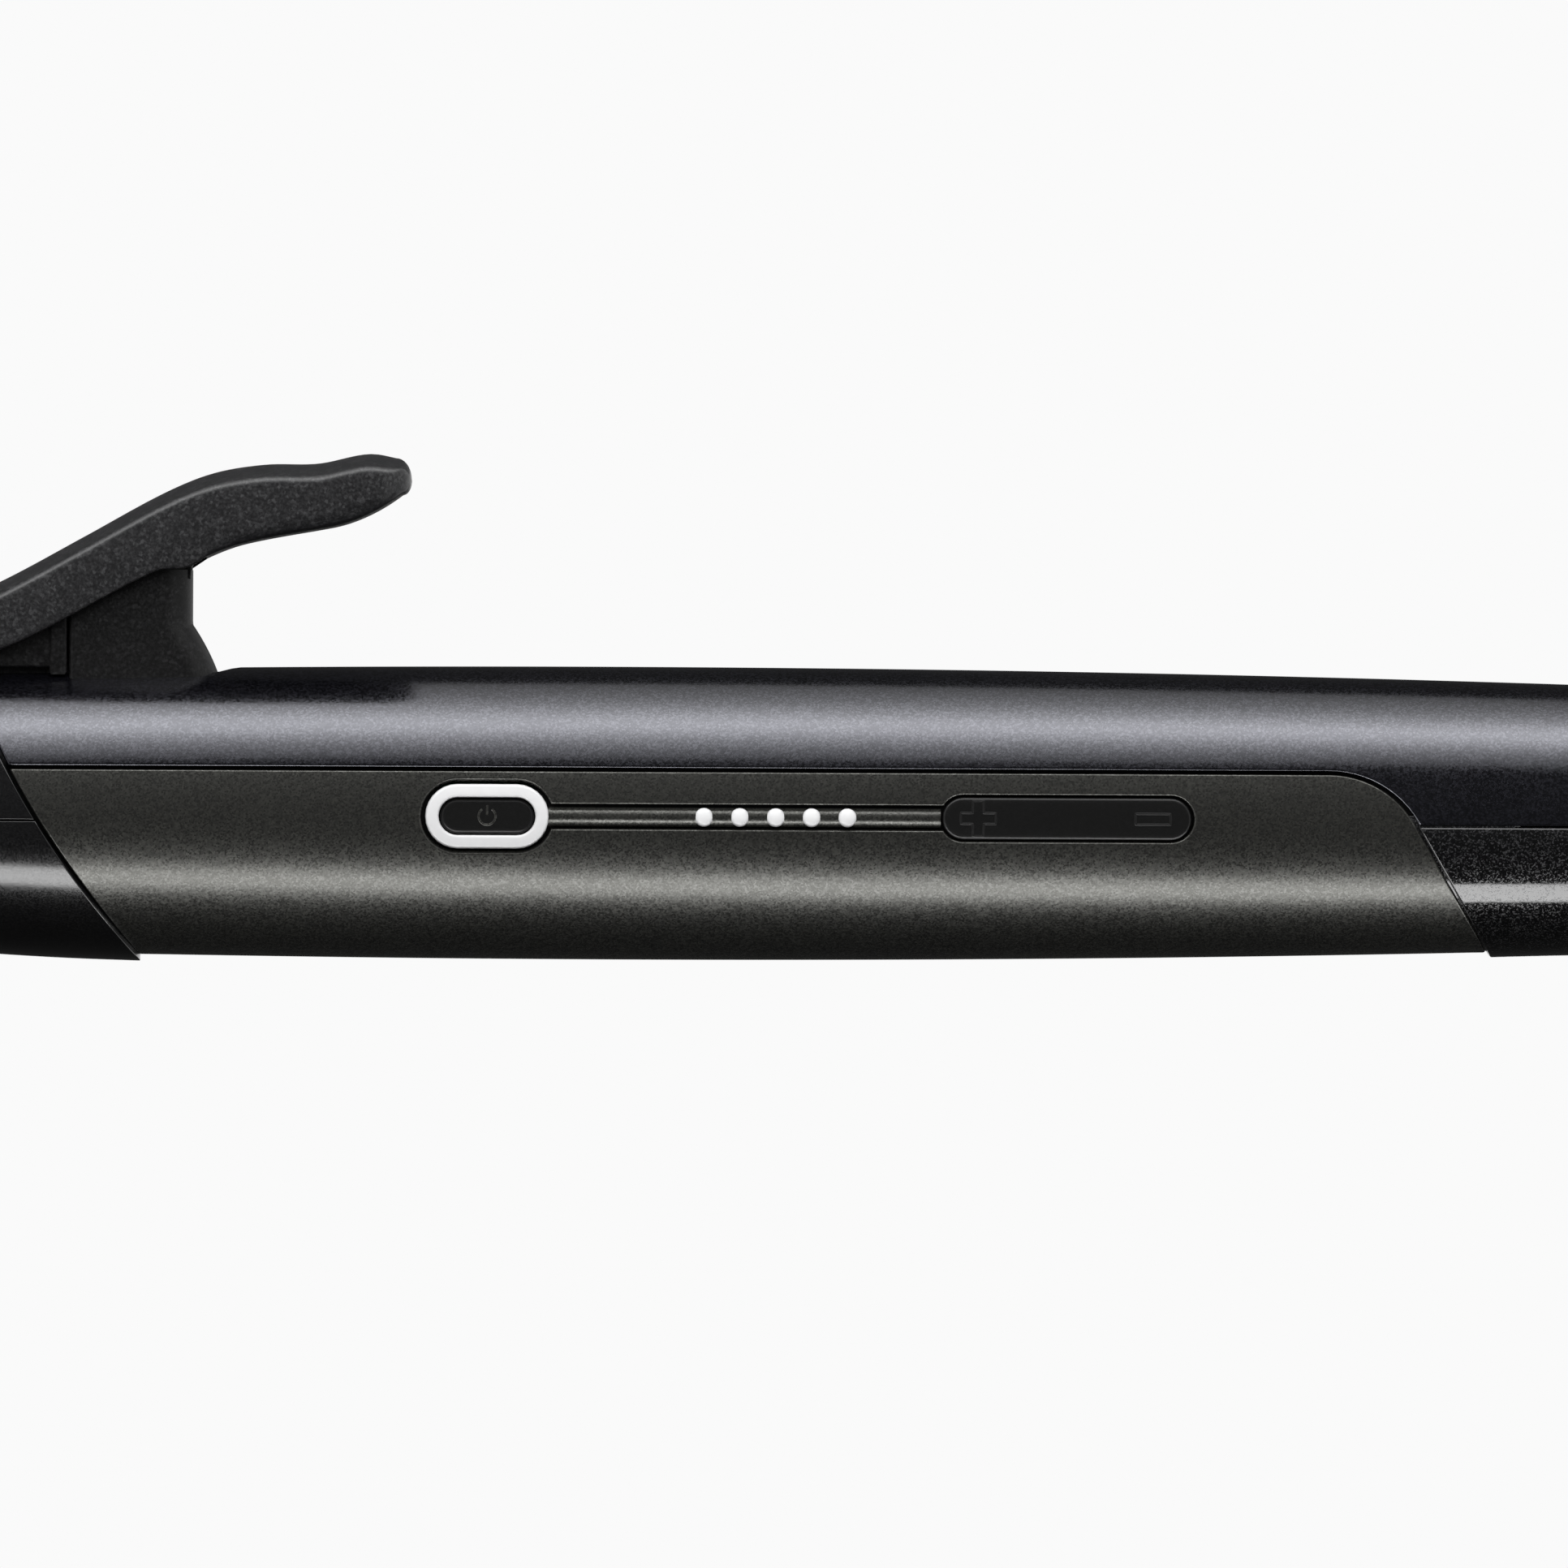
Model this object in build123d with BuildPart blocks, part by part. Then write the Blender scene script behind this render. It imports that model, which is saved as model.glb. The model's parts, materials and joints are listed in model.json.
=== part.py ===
"""Curling iron with a thumb-operated clamp, a round handle and a fold-out stand.

Every piece is modelled along the handle's own axis: x runs from the front face of the neck
towards the tail, z is up on the thumb lever's side, and the controls face -y. The barrel is at
negative x. On export the whole iron is tipped so that it rests on its stand and its tail.
"""

import os
from math import atan2, cos, degrees, radians, sin, sqrt, tan

from build123d import *

# Barrel and cool tip
barrel_radius = 12.5
barrel_wall = 1.2
barrel_length = 130.0
barrel_socket = 3.0
tip_length = 20.0
tip_step = 0.4
tip_plug = 8.0
tip_wall = 2.0
tip_groove_depth = 0.5
tip_groove_width = 1.2
tip_groove_count = 4
washer_thickness = 2.5

# Heater inside the barrel
heater_margin = 11.5
heater_width = 12.0
heater_thickness = 2.0
heater_end = -24.0
spreader_wall = 1.8
sensor_radius = 1.1
sensor_length = 6.0
fuse_radius = 1.8
fuse_length = 10.0

# Spigot that carries the barrel, and the bush that holds the spigot in the handle
spigot_radius = 8.5
spigot_wall = 1.5
spigot_disc = 3.0
bush_length = 40.0

# Handle outline
handle_length = 215.0
belly_x = 89.8
belly_radius = 16.4
tail_radius = 14.3
tail_round = 5.0
tail_wall = 3.0
skin = 2.7
bar_start = 8.0
split_z = -1.2
split_gap = 0.2
seam_gap = 0.4
fit = 0.1
trim = 1.0
collar_gap = 0.5
lower_proud = 0.55

# Neck collar and its slanted joint with the handle
neck_heat_gap = 0.5
neck_wall = 1.2
collar_mid_x = 20.0
collar_mid_radius = 15.95
collar_end = 40.0
collar_end_radius = 16.6
collar_edge = 0.8
slant_reach = 19.0
slant_top_x = 15.1
slant_mid_x = 23.5
slant_low_x = 37.8

# Grip panel
panel_thickness = 1.2
panel_top = 4.6
panel_corner_x = 175.0
panel_corner_round = 11.0
panel_end_angle = 60.0
panel_edge = 0.25

# Controls on the grip panel
control_z = -0.5
pad_below = 5.0
pad_above = 4.5
pad_margin = 3.6
pad_face = 13.4
window_gap = 0.5
power_x = 74.7
ring_length = 13.8
ring_height = 7.2
ring_rim = 1.5
ring_depth = 1.2
ring_proud = 0.15
key_gap = 0.15
ring_edge = 0.35
key_edge = 0.4
button_sink = 0.25
button_flange = 0.9
flange_thickness = 0.75
button_travel = 0.5
lamp_x = 106.9
lamp_pitch = 4.0
lamp_count = 5
lamp_radius = 1.1
lamp_sink = 0.3
guide_thickness = 1.0
guide_height = 3.0
channel_height = 2.8
channel_depth = 0.6
rocker_x = 139.4
rocker_length = 28.4
rocker_height = 5.3
rocker_gap = 0.25
rocker_rise = 0.2
rocker_stem_reach = 9.7
rocker_stem_radius = 0.9
rocker_lug_width = 3.6
rocker_lug_height = 3.2
rocker_pin_radius = 0.6
rocker_pin_depth = 1.0
rocker_ear_thickness = 1.4
rocker_ear_gap = 0.35

# Control board
click_gap = 0.05
board_thickness = 1.2
board_height = 10.0
board_margin = 1.5
boss_radius = 2.0
boss_margin = 2.6
screw_radius = 0.9
screw_head_radius = 1.7
screw_head = 1.2
screw_bite = 2.0
switch_side = 4.5
switch_height = 1.2
plunger_radius = 0.9
plunger_height = 0.25
chip_length = 1.6
chip_height = 0.7
capacitor_offset = 13.3
capacitor_size = (16.0, 8.0, 9.0)
triac_offset = 5.1
triac_size = (10.0, 4.5, 9.0)

# Shell screws, hidden under the grip panel
shell_screw_margins = (7.5, 4.5)
shell_boss_y = 3.0
shell_boss_radius = 3.2
shell_boss_meet = -4.0
shell_screw_radius = 1.3
shell_screw_bite = 12.0
shell_screw_head_radius = 2.3
shell_screw_floor = 2.5

# Clamp hinge post
pivot_x = 39.2
pivot_z = 31.3
clamp_opening = 16.0
post_length = 13.6
post_front = 2.2
post_half_width = 6.0
post_kink_height = 5.45
post_kink_step = 0.2
post_foot_length = 3.0
post_foot_bulge = 0.3
post_left_drop = 8.1
post_edge = 2.5
seat_depth = 0.6
seat_start = 20.0
seat_ramp = 2.4
cradle_gap = 0.3
ear_inner = 2.5
ear_outer = 4.2
ear_radius = 2.6
spring_pocket_depth = 8.8
spring_pocket_length = 5.5
post_screw_insets = (2.8, 9.2)
post_screw_bite = 6.0
post_screw_radius = 1.1
post_screw_head_radius = 2.0
post_screw_head = 1.4

# Thumb lever
lever_half_width = 8.25
lever_root_half_width = 5.5
lever_gap = 0.3
lever_clearance = 0.6
lever_roof = 1.9
lever_roof_left = 27.6
lever_crown = 1.5
lever_root_end = -16.0
lever_root_thickness = 2.2
lever_waist_rise = 3.8
lever_crown_points = (
    (20.5, 25.9),
    (29.4, 30.75),
    (38.2, 35.6),
    (43.7, 37.85),
    (49.5, 38.85),
    (55.5, 39.0),
    (61.2, 40.1),
    (65.0, 39.5),
    (67.0, 38.7),
)
lever_waist_x = 4.0
lever_shoulder_x = 20.5
lever_tip_x = 65.95
lever_tip_z = 37.3
lever_tip_low = (65.0, 35.6)
lever_under_bend = (57.0, 31.85)
lever_under_start = (46.3, 29.8)
lever_side_low = (37.6, 27.3)
lever_side_root = (20.0, 18.45)
knuckle_radius = 4.1
lever_tip_round = 4.0
lever_tip_fall = 0.4
lever_tip_bulge = 0.3
knuckle_inner = 4.45
rib_thickness = 1.9
gusset_inset = 0.4
gusset_lift = 1.3
hinge_pin_radius = 1.2
hinge_pin_play = 0.05
hinge_pin_blind = 1.25
spring_wire = 0.35
spring_radius = 1.95
spring_turns = 5.5
spring_pitch = 0.72
spring_leg = 2.2

# Clamp spoon
spoon_gap = 0.3
spoon_sheet = 0.8
spoon_arc = 110.0
spoon_setback = 4.0
spoon_end = -1.5
spoon_tip_half_width = 7.0
spoon_taper_x = -40.0
rivet_radius = 1.4
rivet_head_radius = 2.4
rivet_head = 0.8
rivet_grip = 1.2
rivet_xs = (-5.5, -12.0)

# Fold-out stand
stand_x = 9.0
stand_wire_radius = 1.2
stand_side_gap = 0.25
stand_leg = 32.0
stand_lean = 20.0
stand_bend = 2.0
stand_play = 0.1
stand_sleeve_radius = 1.9
stand_sleeve_margin = 5.0
stop_reach = 5.5
stop_radius = 1.4
stop_gap = 0.15

# Cord swivel at the tail
swivel_radius = 7.0
swivel_play = 0.08
swivel_flange_step = 2.2
swivel_flange = 3.0
swivel_face_gap = 0.3
swivel_collar_step = 0.8
swivel_stub = 9.0
swivel_stub_radius = 5.6
swivel_bore = 3.6
swivel_bore_depth = 26.0
shaft_radius = 5.0
shaft_length = 17.7
slip_ring_height = 1.4
slip_ring_width = 2.5
slip_ring_offsets = (7.0, 12.5)
bearing_lip = 0.5
bearing_thickness = 3.0
brush_block_thickness = 2.0
brush_block_height = 12.0
brush_block_length = 13.0
brush_width = 2.0
brush_height = 3.0
brush_gap = 0.08

# Wiring
lead_radius = 0.9
lead_spread = 3.4
lead_bend = 4.0


def handle_radius(x):
    """Radius of the handle's surface at a distance behind the neck's front face."""
    from_belly = (x - belly_x) / (handle_length - belly_x)
    return belly_radius - (belly_radius - tail_radius) * from_belly**2


# Places and sizes that follow from the ones above
barrel_bore = barrel_radius - barrel_wall
tip_radius = barrel_radius + tip_step
collar_bore = barrel_radius + neck_heat_gap
neck_radius = collar_bore + neck_wall
bush_radius = collar_bore - fit
bush_start = barrel_socket + trim
spoon_inner = barrel_radius + spoon_gap
spoon_outer = spoon_inner + spoon_sheet
spoon_start = spoon_setback - barrel_length
end_x = handle_length - tail_wall
pad_low = control_z - pad_below
pad_high = control_z + pad_above
channel_start = power_x + ring_length / 2
channel_end = rocker_x - rocker_length / 2
board_boss_xs = (
    power_x - ring_length / 2 - boss_margin,
    channel_end - boss_radius - seam_gap,
    rocker_x + rocker_length / 2 + boss_margin + seam_gap,
)
pad_start = board_boss_xs[0] - pad_margin
pad_end = board_boss_xs[-1] + pad_margin
ring_seat = pad_face + ring_depth
rocker_foot = pad_face + rocker_rise
rocker_pin_y = pad_face - rocker_pin_depth
flange_face = pad_face - click_gap
plunger_tip = flange_face - flange_thickness - button_travel - click_gap
board_front = plunger_tip - plunger_height - switch_height
board_back = board_front - board_thickness
board_lead_y = board_back - lead_radius - fit
lamp_xs = [lamp_x + lamp_pitch * (i - (lamp_count - 1) / 2) for i in range(lamp_count)]
shell_screw_xs = (pad_start - shell_screw_margins[0], pad_end + shell_screw_margins[1])
post_right = pivot_x + post_front
post_left = post_right - post_length
seat_z = handle_radius(post_right) - seat_depth
post_kink = (post_right + post_kink_step, seat_z + post_kink_height)
post_foot = (post_right + post_foot_length, seat_z - fit)
post_left_top = pivot_z - post_left_drop
post_screw_xs = [post_left + inset for inset in post_screw_insets]
spring_pocket_right = pivot_x + spring_wire
spring_pocket_left = spring_pocket_right - spring_pocket_length
lever_crown_line = (
    (lever_root_end, spoon_outer + lever_root_thickness),
    (lever_waist_x, neck_radius + lever_waist_rise),
    *lever_crown_points,
)
stand_half_width = collar_mid_radius + stand_wire_radius + stand_side_gap
swivel_flange_radius = swivel_radius + swivel_flange_step
swivel_collar_radius = swivel_radius + swivel_collar_step
flange_end = end_x - swivel_face_gap
shaft_start = flange_end - swivel_flange - shaft_length
slip_ring_radius = shaft_radius + slip_ring_height
slip_ring_xs = [shaft_start + offset_x for offset_x in slip_ring_offsets]
bearing_start = shaft_start - bearing_lip
block_start = bearing_start + bearing_thickness
bearing_radius = handle_radius(block_start) - skin - fit
brush_block_y = board_lead_y - lead_radius / 2
stub_end = handle_length + swivel_stub


def handle_bar(inset):
    """Solid bar that follows the handle's outline at a depth under its surface."""
    stations = (bar_start, (bar_start + handle_length) / 2, handle_length)
    outline = [(x, handle_radius(x) - inset) for x in stations]
    with BuildPart() as bar:
        with BuildSketch(Plane.XZ):
            with BuildLine():
                ThreePointArc(*outline)
                Polyline(outline[-1], (handle_length, 0), (bar_start, 0), outline[0])
            make_face()
        revolve(axis=Axis.X)
    return bar.part


def collar_bar(grow):
    """Solid bar that follows the neck collar's outline, grown by a clearance."""
    front = (0, neck_radius + grow)
    middle = (collar_mid_x, collar_mid_radius + grow)
    end = (collar_end, collar_end_radius + grow)
    with BuildPart() as bar:
        with BuildSketch(Plane.XZ):
            with BuildLine():
                ThreePointArc(front, middle, end)
                Polyline(end, (collar_end, 0), (0, 0), front)
            make_face()
        revolve(axis=Axis.X)
    return bar.part


def collar_side(shift):
    """Block on the neck's side of the slanted joint, moved back by a gap."""
    front = -4 * barrel_radius
    top = (slant_top_x + shift, slant_reach)
    low = (slant_low_x + shift, -slant_reach)
    with BuildPart() as block:
        with BuildSketch(Plane.XZ):
            with BuildLine():
                ThreePointArc(top, (slant_mid_x + shift, 0), low)
                Polyline(low, (front, -slant_reach), (front, slant_reach), top)
            make_face()
        extrude(amount=slant_reach, both=True)
    return block.part


def panel_block(grow):
    """Block through the handle with the grip panel's side outline, grown by a gap."""
    run = (panel_top + slant_reach) / sin(radians(panel_end_angle)) * cos(radians(panel_end_angle))
    with BuildPart() as block:
        with BuildSketch(Plane.XZ) as outline:
            with BuildLine():
                Polyline(
                    (slant_top_x, panel_top),
                    (panel_corner_x, panel_top),
                    (panel_corner_x + run, -slant_reach),
                    (slant_top_x, -slant_reach),
                    close=True,
                )
            make_face()
            corner = outline.vertices().group_by(Axis.Y)[-1].sort_by(Axis.X)[-1]
            fillet(corner, panel_corner_round)
            if grow:
                offset(amount=grow, kind=Kind.INTERSECTION)
        extrude(amount=slant_reach, both=True)
    return block.part


def stadium_block(x, length, height, face, depth):
    """Stadium-shaped block on the control side, standing outwards from a depth."""
    with BuildPart() as block:
        with BuildSketch(Plane.XZ.offset(face)):
            with Locations((x, control_z)):
                SlotOverall(length, height)
        extrude(amount=depth)
    return block.part


def screw_seat(x):
    """Height of a shell screw's seat in the lower shell, clear of the grip panel."""
    return shell_screw_floor + panel_thickness - handle_radius(x)


def keep(piece, name):
    """Label a finished piece, stand it in the resting pose and write its file."""
    placed = piece.moved(rest_pose)
    placed.label = name
    export_step(placed, f"parts/{name}.step")


# Resting pose: the stand's sleeve and the underside of the tail touch one level plane
lean = radians(stand_lean)
foot_x = stand_x - stand_leg * sin(lean)
foot_z = split_z - stand_leg * cos(lean) - stand_sleeve_radius
tail_rest_x = handle_length - tail_round
tail_rest_z = -(handle_radius(tail_rest_x) + lower_proud)
rest_tilt = degrees(atan2(tail_rest_z - foot_z, tail_rest_x - foot_x))
overall_front = -(barrel_length + tip_length)
overall_end = handle_length + swivel_stub
turned = Location((0, 0, 0), (0, rest_tilt, 0))
middle_x = (overall_front + overall_end) / 2 * cos(radians(rest_tilt))
drop = -foot_x * sin(radians(rest_tilt)) + foot_z * cos(radians(rest_tilt))
rest_pose = Location((-middle_x, 0, -drop)) * turned

os.makedirs("parts", exist_ok=True)

# Shared cutting bodies for the handle
panel_bed = handle_bar(panel_thickness + fit)
panel_room = panel_block(seam_gap) - panel_bed
neck_side = collar_side(collar_gap)

with BuildPart() as handle_bore:
    add(handle_bar(skin))
    split(bisect_by=Plane.YZ.offset(end_x), keep=Keep.BOTTOM)

with BuildPart() as window:
    with BuildSketch(Plane.XZ.offset(pad_face / 2)):
        with Locations(((pad_start + pad_end) / 2, (pad_low + pad_high) / 2)):
            Rectangle(pad_end - pad_start + 2 * window_gap, pad_high - pad_low + 2 * window_gap)
    extrude(amount=2 * belly_radius)

with BuildPart() as post_seat:
    with BuildSketch(Plane.XZ):
        with BuildLine():
            Polyline(
                (seat_start, seat_z),
                (post_foot[0], seat_z),
                (post_foot[0] + seat_ramp, seat_z + trim),
                (post_foot[0] + seat_ramp, 2 * seat_z),
                (seat_start, 2 * seat_z),
                close=True,
            )
        make_face()
    extrude(amount=belly_radius, both=True)

with BuildPart() as swivel_hole:
    with BuildSketch(Plane.YZ.offset(end_x - tail_wall)):
        Circle(swivel_radius + swivel_play)
    extrude(amount=3 * tail_wall)

with BuildPart() as bush_room:
    with BuildSketch(Plane.YZ.offset(bush_start)):
        Circle(bush_radius + fit)
    extrude(amount=bush_length + fit)

boss_limit = handle_bar(skin - fit)

shell_cutters = (
    panel_room,
    handle_bore.part,
    neck_side,
    window.part,
    swivel_hole.part,
    bush_room.part,
)

# Upper shell: carries the hinge post, and the screw bosses for the lower shell
post_head_top = handle_radius(post_left) - skin + post_screw_head
with BuildPart() as upper_bosses:
    for x in shell_screw_xs:
        with BuildSketch(Plane.XY.offset(shell_boss_meet)):
            with Locations((x, shell_boss_y)):
                Circle(shell_boss_radius)
    extrude(amount=2 * belly_radius)
    add(boss_limit, mode=Mode.INTERSECT)
    for x in shell_screw_xs:
        with BuildSketch(Plane.XY.offset(shell_boss_meet)):
            with Locations((x, shell_boss_y)):
                Circle(shell_screw_radius + fit)
    extrude(amount=shell_screw_bite, mode=Mode.SUBTRACT)

with BuildPart() as upper_shell:
    add(handle_bar(0))
    fillet(upper_shell.edges().filter_by(GeomType.CIRCLE).sort_by(Axis.X)[-1], tail_round)
    for cutter in (*shell_cutters, post_seat.part):
        add(cutter, mode=Mode.SUBTRACT)
    split(bisect_by=Plane.XY.offset(split_z + split_gap / 2), keep=Keep.TOP)
    add(upper_bosses.part)
    with BuildSketch(Plane.XY):
        with Locations(*[(x, 0) for x in post_screw_xs]):
            Circle(post_screw_radius + fit)
    extrude(amount=2 * seat_z, mode=Mode.SUBTRACT)
    with BuildSketch(Plane.XY):
        with Locations(*[(x, 0) for x in post_screw_xs]):
            Circle(post_screw_head_radius + fit)
    extrude(amount=post_head_top, mode=Mode.SUBTRACT)
keep(upper_shell.part, "upper_shell")

# Lower shell: a recessed trough under the grip panel, and the glossy underside of the tail
with BuildPart() as lower_bosses:
    for x in shell_screw_xs:
        with BuildSketch(Plane.XY.offset(shell_boss_meet - split_gap)):
            with Locations((x, shell_boss_y)):
                Circle(shell_boss_radius)
    extrude(amount=-2 * belly_radius)
    add(boss_limit, mode=Mode.INTERSECT)

with BuildPart() as screw_room:
    for x in shell_screw_xs:
        with BuildSketch(Plane.XY.offset(screw_seat(x))):
            with Locations((x, shell_boss_y)):
                Circle(shell_screw_radius + fit)
        extrude(amount=shell_boss_meet - screw_seat(x))
        with BuildSketch(Plane.XY.offset(screw_seat(x))):
            with Locations((x, shell_boss_y)):
                Circle(shell_screw_head_radius + fit)
        extrude(amount=-2 * belly_radius)

with BuildPart() as lower_shell:
    add(handle_bar(-lower_proud))
    fillet(lower_shell.edges().filter_by(GeomType.CIRCLE).sort_by(Axis.X)[-1], tail_round)
    for cutter in shell_cutters:
        add(cutter, mode=Mode.SUBTRACT)
    split(bisect_by=Plane.XY.offset(split_z - split_gap / 2), keep=Keep.BOTTOM)
    add(lower_bosses.part)
    add(screw_room.part, mode=Mode.SUBTRACT)
keep(lower_shell.part, "lower_shell")

# Shell screws: driven from below into the upper shell's bosses
with BuildPart() as shell_screws:
    for x in shell_screw_xs:
        with BuildSketch(Plane.XY.offset(screw_seat(x))):
            with Locations((x, shell_boss_y)):
                Circle(shell_screw_radius)
        extrude(amount=shell_boss_meet + shell_screw_bite - fit - screw_seat(x))
        with BuildSketch(Plane.XY.offset(screw_seat(x))):
            with Locations((x, shell_boss_y)):
                Circle(shell_screw_head_radius)
        extrude(amount=-screw_head)
keep(shell_screws.part, "shell_screws")

# Neck collar: two glossy halves round the bush, with the stand's pivot holes in their joint
stop_x = stand_x - stop_reach * sin(lean) - (stand_wire_radius + stop_gap + stop_radius) * cos(lean)
stop_z = split_z - stop_reach * cos(lean) + (stand_wire_radius + stop_gap + stop_radius) * sin(lean)
with BuildPart() as collar_ring:
    add(collar_bar(0))
    fillet(collar_ring.edges().filter_by(GeomType.CIRCLE).sort_by(Axis.X)[0], collar_edge)
    add(collar_side(0), mode=Mode.INTERSECT)
    with BuildSketch(Plane.YZ):
        Circle(collar_bore)
    extrude(amount=collar_end, mode=Mode.SUBTRACT)
    with BuildSketch(Plane.XZ):
        with Locations((stand_x, split_z)):
            Circle(stand_wire_radius + stand_play)
    extrude(amount=belly_radius + lower_proud, both=True, mode=Mode.SUBTRACT)

with BuildPart() as collar_upper:
    add(collar_ring.part)
    split(bisect_by=Plane.XY.offset(split_z + split_gap / 2), keep=Keep.TOP)
keep(collar_upper.part, "collar_upper")

with BuildPart() as collar_lower:
    with BuildSketch(Plane.XZ):
        with Locations((stop_x, stop_z)):
            Circle(stop_radius)
    extrude(amount=stand_half_width + stand_wire_radius / 2, both=True)
    with BuildSketch(Plane.YZ.offset(-collar_end)):
        Circle(collar_bore)
    extrude(amount=2 * collar_end, mode=Mode.SUBTRACT)
    add(collar_ring.part)
    split(bisect_by=Plane.XY.offset(split_z - split_gap / 2), keep=Keep.BOTTOM)
keep(collar_lower.part, "collar_lower")

# Grip panel: a trough under the handle, with a thick pad behind the controls
hole_length = ring_length - 2 * ring_rim
hole_height = ring_height - 2 * ring_rim
ear_z = rocker_height / 2 + rocker_ear_gap + rocker_ear_thickness / 2
ear_foot = rocker_pin_y - rocker_pin_radius - seam_gap
outside = belly_radius
channel_room = stadium_block(
    (channel_start + channel_end) / 2,
    channel_end - channel_start + channel_height,
    channel_height,
    pad_face,
    outside,
) - handle_bar(channel_depth)
with BuildPart() as grip_panel:
    add(panel_block(0))
    add(handle_bar(panel_thickness), mode=Mode.SUBTRACT)
    with BuildSketch(Plane.XZ.offset(pad_face)):
        with Locations(((pad_start + pad_end) / 2, (pad_low + pad_high) / 2)):
            Rectangle(pad_end - pad_start, pad_high - pad_low)
    extrude(amount=outside)
    add(handle_bar(0), mode=Mode.INTERSECT)
    add(neck_side, mode=Mode.SUBTRACT)
    fillet(grip_panel.faces().sort_by(SortBy.AREA)[-1].outer_wire().edges(), panel_edge)
    add(channel_room, mode=Mode.SUBTRACT)
    with BuildSketch(Plane.XZ.offset(board_front)):
        with Locations(*[(x, control_z) for x in board_boss_xs]):
            Circle(boss_radius)
    extrude(amount=pad_face - board_front + fit)
    with BuildSketch(Plane.XZ.offset(ear_foot)):
        with Locations((rocker_x, control_z - ear_z), (rocker_x, control_z + ear_z)):
            Rectangle(rocker_lug_width, rocker_ear_thickness)
    extrude(amount=pad_face - ear_foot + fit)
    with BuildSketch(Plane.XZ.offset(ring_seat)):
        with Locations((power_x, control_z)):
            SlotOverall(ring_length + 2 * seam_gap, ring_height + 2 * seam_gap)
    extrude(amount=outside, mode=Mode.SUBTRACT)
    with BuildSketch(Plane.XZ.offset(board_front)):
        with Locations((power_x, control_z)):
            SlotOverall(hole_length, hole_height)
        with Locations((rocker_x, control_z)):
            SlotOverall(rocker_length, rocker_height)
        with Locations(*[(x, control_z) for x in lamp_xs]):
            Circle(lamp_radius + fit)
    extrude(amount=outside, mode=Mode.SUBTRACT)
    with BuildSketch(Plane.XZ.offset(board_front)):
        with Locations(*[(x, control_z) for x in board_boss_xs]):
            Circle(screw_radius + fit)
    extrude(amount=screw_bite, mode=Mode.SUBTRACT)
    with BuildSketch(Plane.XY.offset(-belly_radius)):
        with Locations((rocker_x, -rocker_pin_y)):
            Circle(rocker_pin_radius + hinge_pin_play)
    extrude(amount=2 * belly_radius, mode=Mode.SUBTRACT)
keep(grip_panel.part, "grip_panel")

# Power ring: a white light ring let into the panel round the power button
with BuildPart() as power_ring:
    add(stadium_block(power_x, ring_length, ring_height, ring_seat, outside))
    add(stadium_block(power_x, hole_length, hole_height, pad_face, outside), mode=Mode.SUBTRACT)
    add(handle_bar(-ring_proud), mode=Mode.INTERSECT)
    fillet(power_ring.faces().sort_by(Axis.Y)[0].edges(), ring_edge)
keep(power_ring.part, "power_ring")

# Power button: a cap held behind the panel by its flange
with BuildPart() as power_button:
    add(stadium_block(power_x, hole_length - 2 * key_gap, hole_height - 2 * key_gap, flange_face, outside))
    add(handle_bar(button_sink), mode=Mode.INTERSECT)
    fillet(power_button.faces().sort_by(Axis.Y)[0].edges(), key_edge)
    add(
        stadium_block(
            power_x,
            hole_length + 2 * button_flange,
            hole_height + 2 * button_flange,
            flange_face - flange_thickness,
            flange_thickness,
        )
    )
keep(power_button.part, "power_button")

# Rocker key for the heat setting, tilting on a pin across its middle
lug_foot = rocker_pin_y - 2 * rocker_pin_radius + fit
stem_foot = rocker_foot - flange_thickness
with BuildPart() as rocker_key:
    add(
        stadium_block(
            rocker_x,
            rocker_length - 2 * rocker_gap,
            rocker_height - 2 * rocker_gap,
            rocker_foot,
            outside,
        )
    )
    add(handle_bar(0), mode=Mode.INTERSECT)
    fillet(rocker_key.faces().sort_by(Axis.Y)[0].edges(), key_edge)
    with BuildSketch(Plane.XZ.offset(lug_foot)):
        with Locations((rocker_x, control_z)):
            Rectangle(rocker_lug_width, rocker_lug_height)
    extrude(amount=rocker_foot - lug_foot + fit)
    with BuildSketch(Plane.XZ.offset(stem_foot)):
        with Locations((rocker_x - rocker_stem_reach, control_z), (rocker_x + rocker_stem_reach, control_z)):
            Circle(rocker_stem_radius)
    extrude(amount=rocker_foot - stem_foot + fit)
    with BuildSketch(Plane.XY.offset(-belly_radius)):
        with Locations((rocker_x, -rocker_pin_y)):
            Circle(rocker_pin_radius + hinge_pin_play)
    extrude(amount=2 * belly_radius, mode=Mode.SUBTRACT)
keep(rocker_key.part, "rocker_key")

pin_half_length = ear_z + rocker_ear_thickness / 2
with BuildPart() as rocker_pin:
    with BuildSketch(Plane.XY.offset(control_z - pin_half_length)):
        with Locations((rocker_x, -rocker_pin_y)):
            Circle(rocker_pin_radius)
    extrude(amount=2 * pin_half_length)
keep(rocker_pin.part, "rocker_pin")

# Light guide: one bar behind the panel with a pip through it for each lamp
with BuildPart() as light_guide:
    with BuildSketch(Plane.XZ.offset(pad_face - guide_thickness)):
        with Locations(*[(x, control_z) for x in lamp_xs]):
            Circle(lamp_radius)
    extrude(amount=outside)
    add(handle_bar(lamp_sink), mode=Mode.INTERSECT)
    with BuildSketch(Plane.XZ.offset(pad_face - guide_thickness)):
        with Locations((lamp_x, control_z)):
            Rectangle(lamp_pitch * lamp_count, guide_height)
    extrude(amount=guide_thickness)
keep(light_guide.part, "light_guide")

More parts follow.
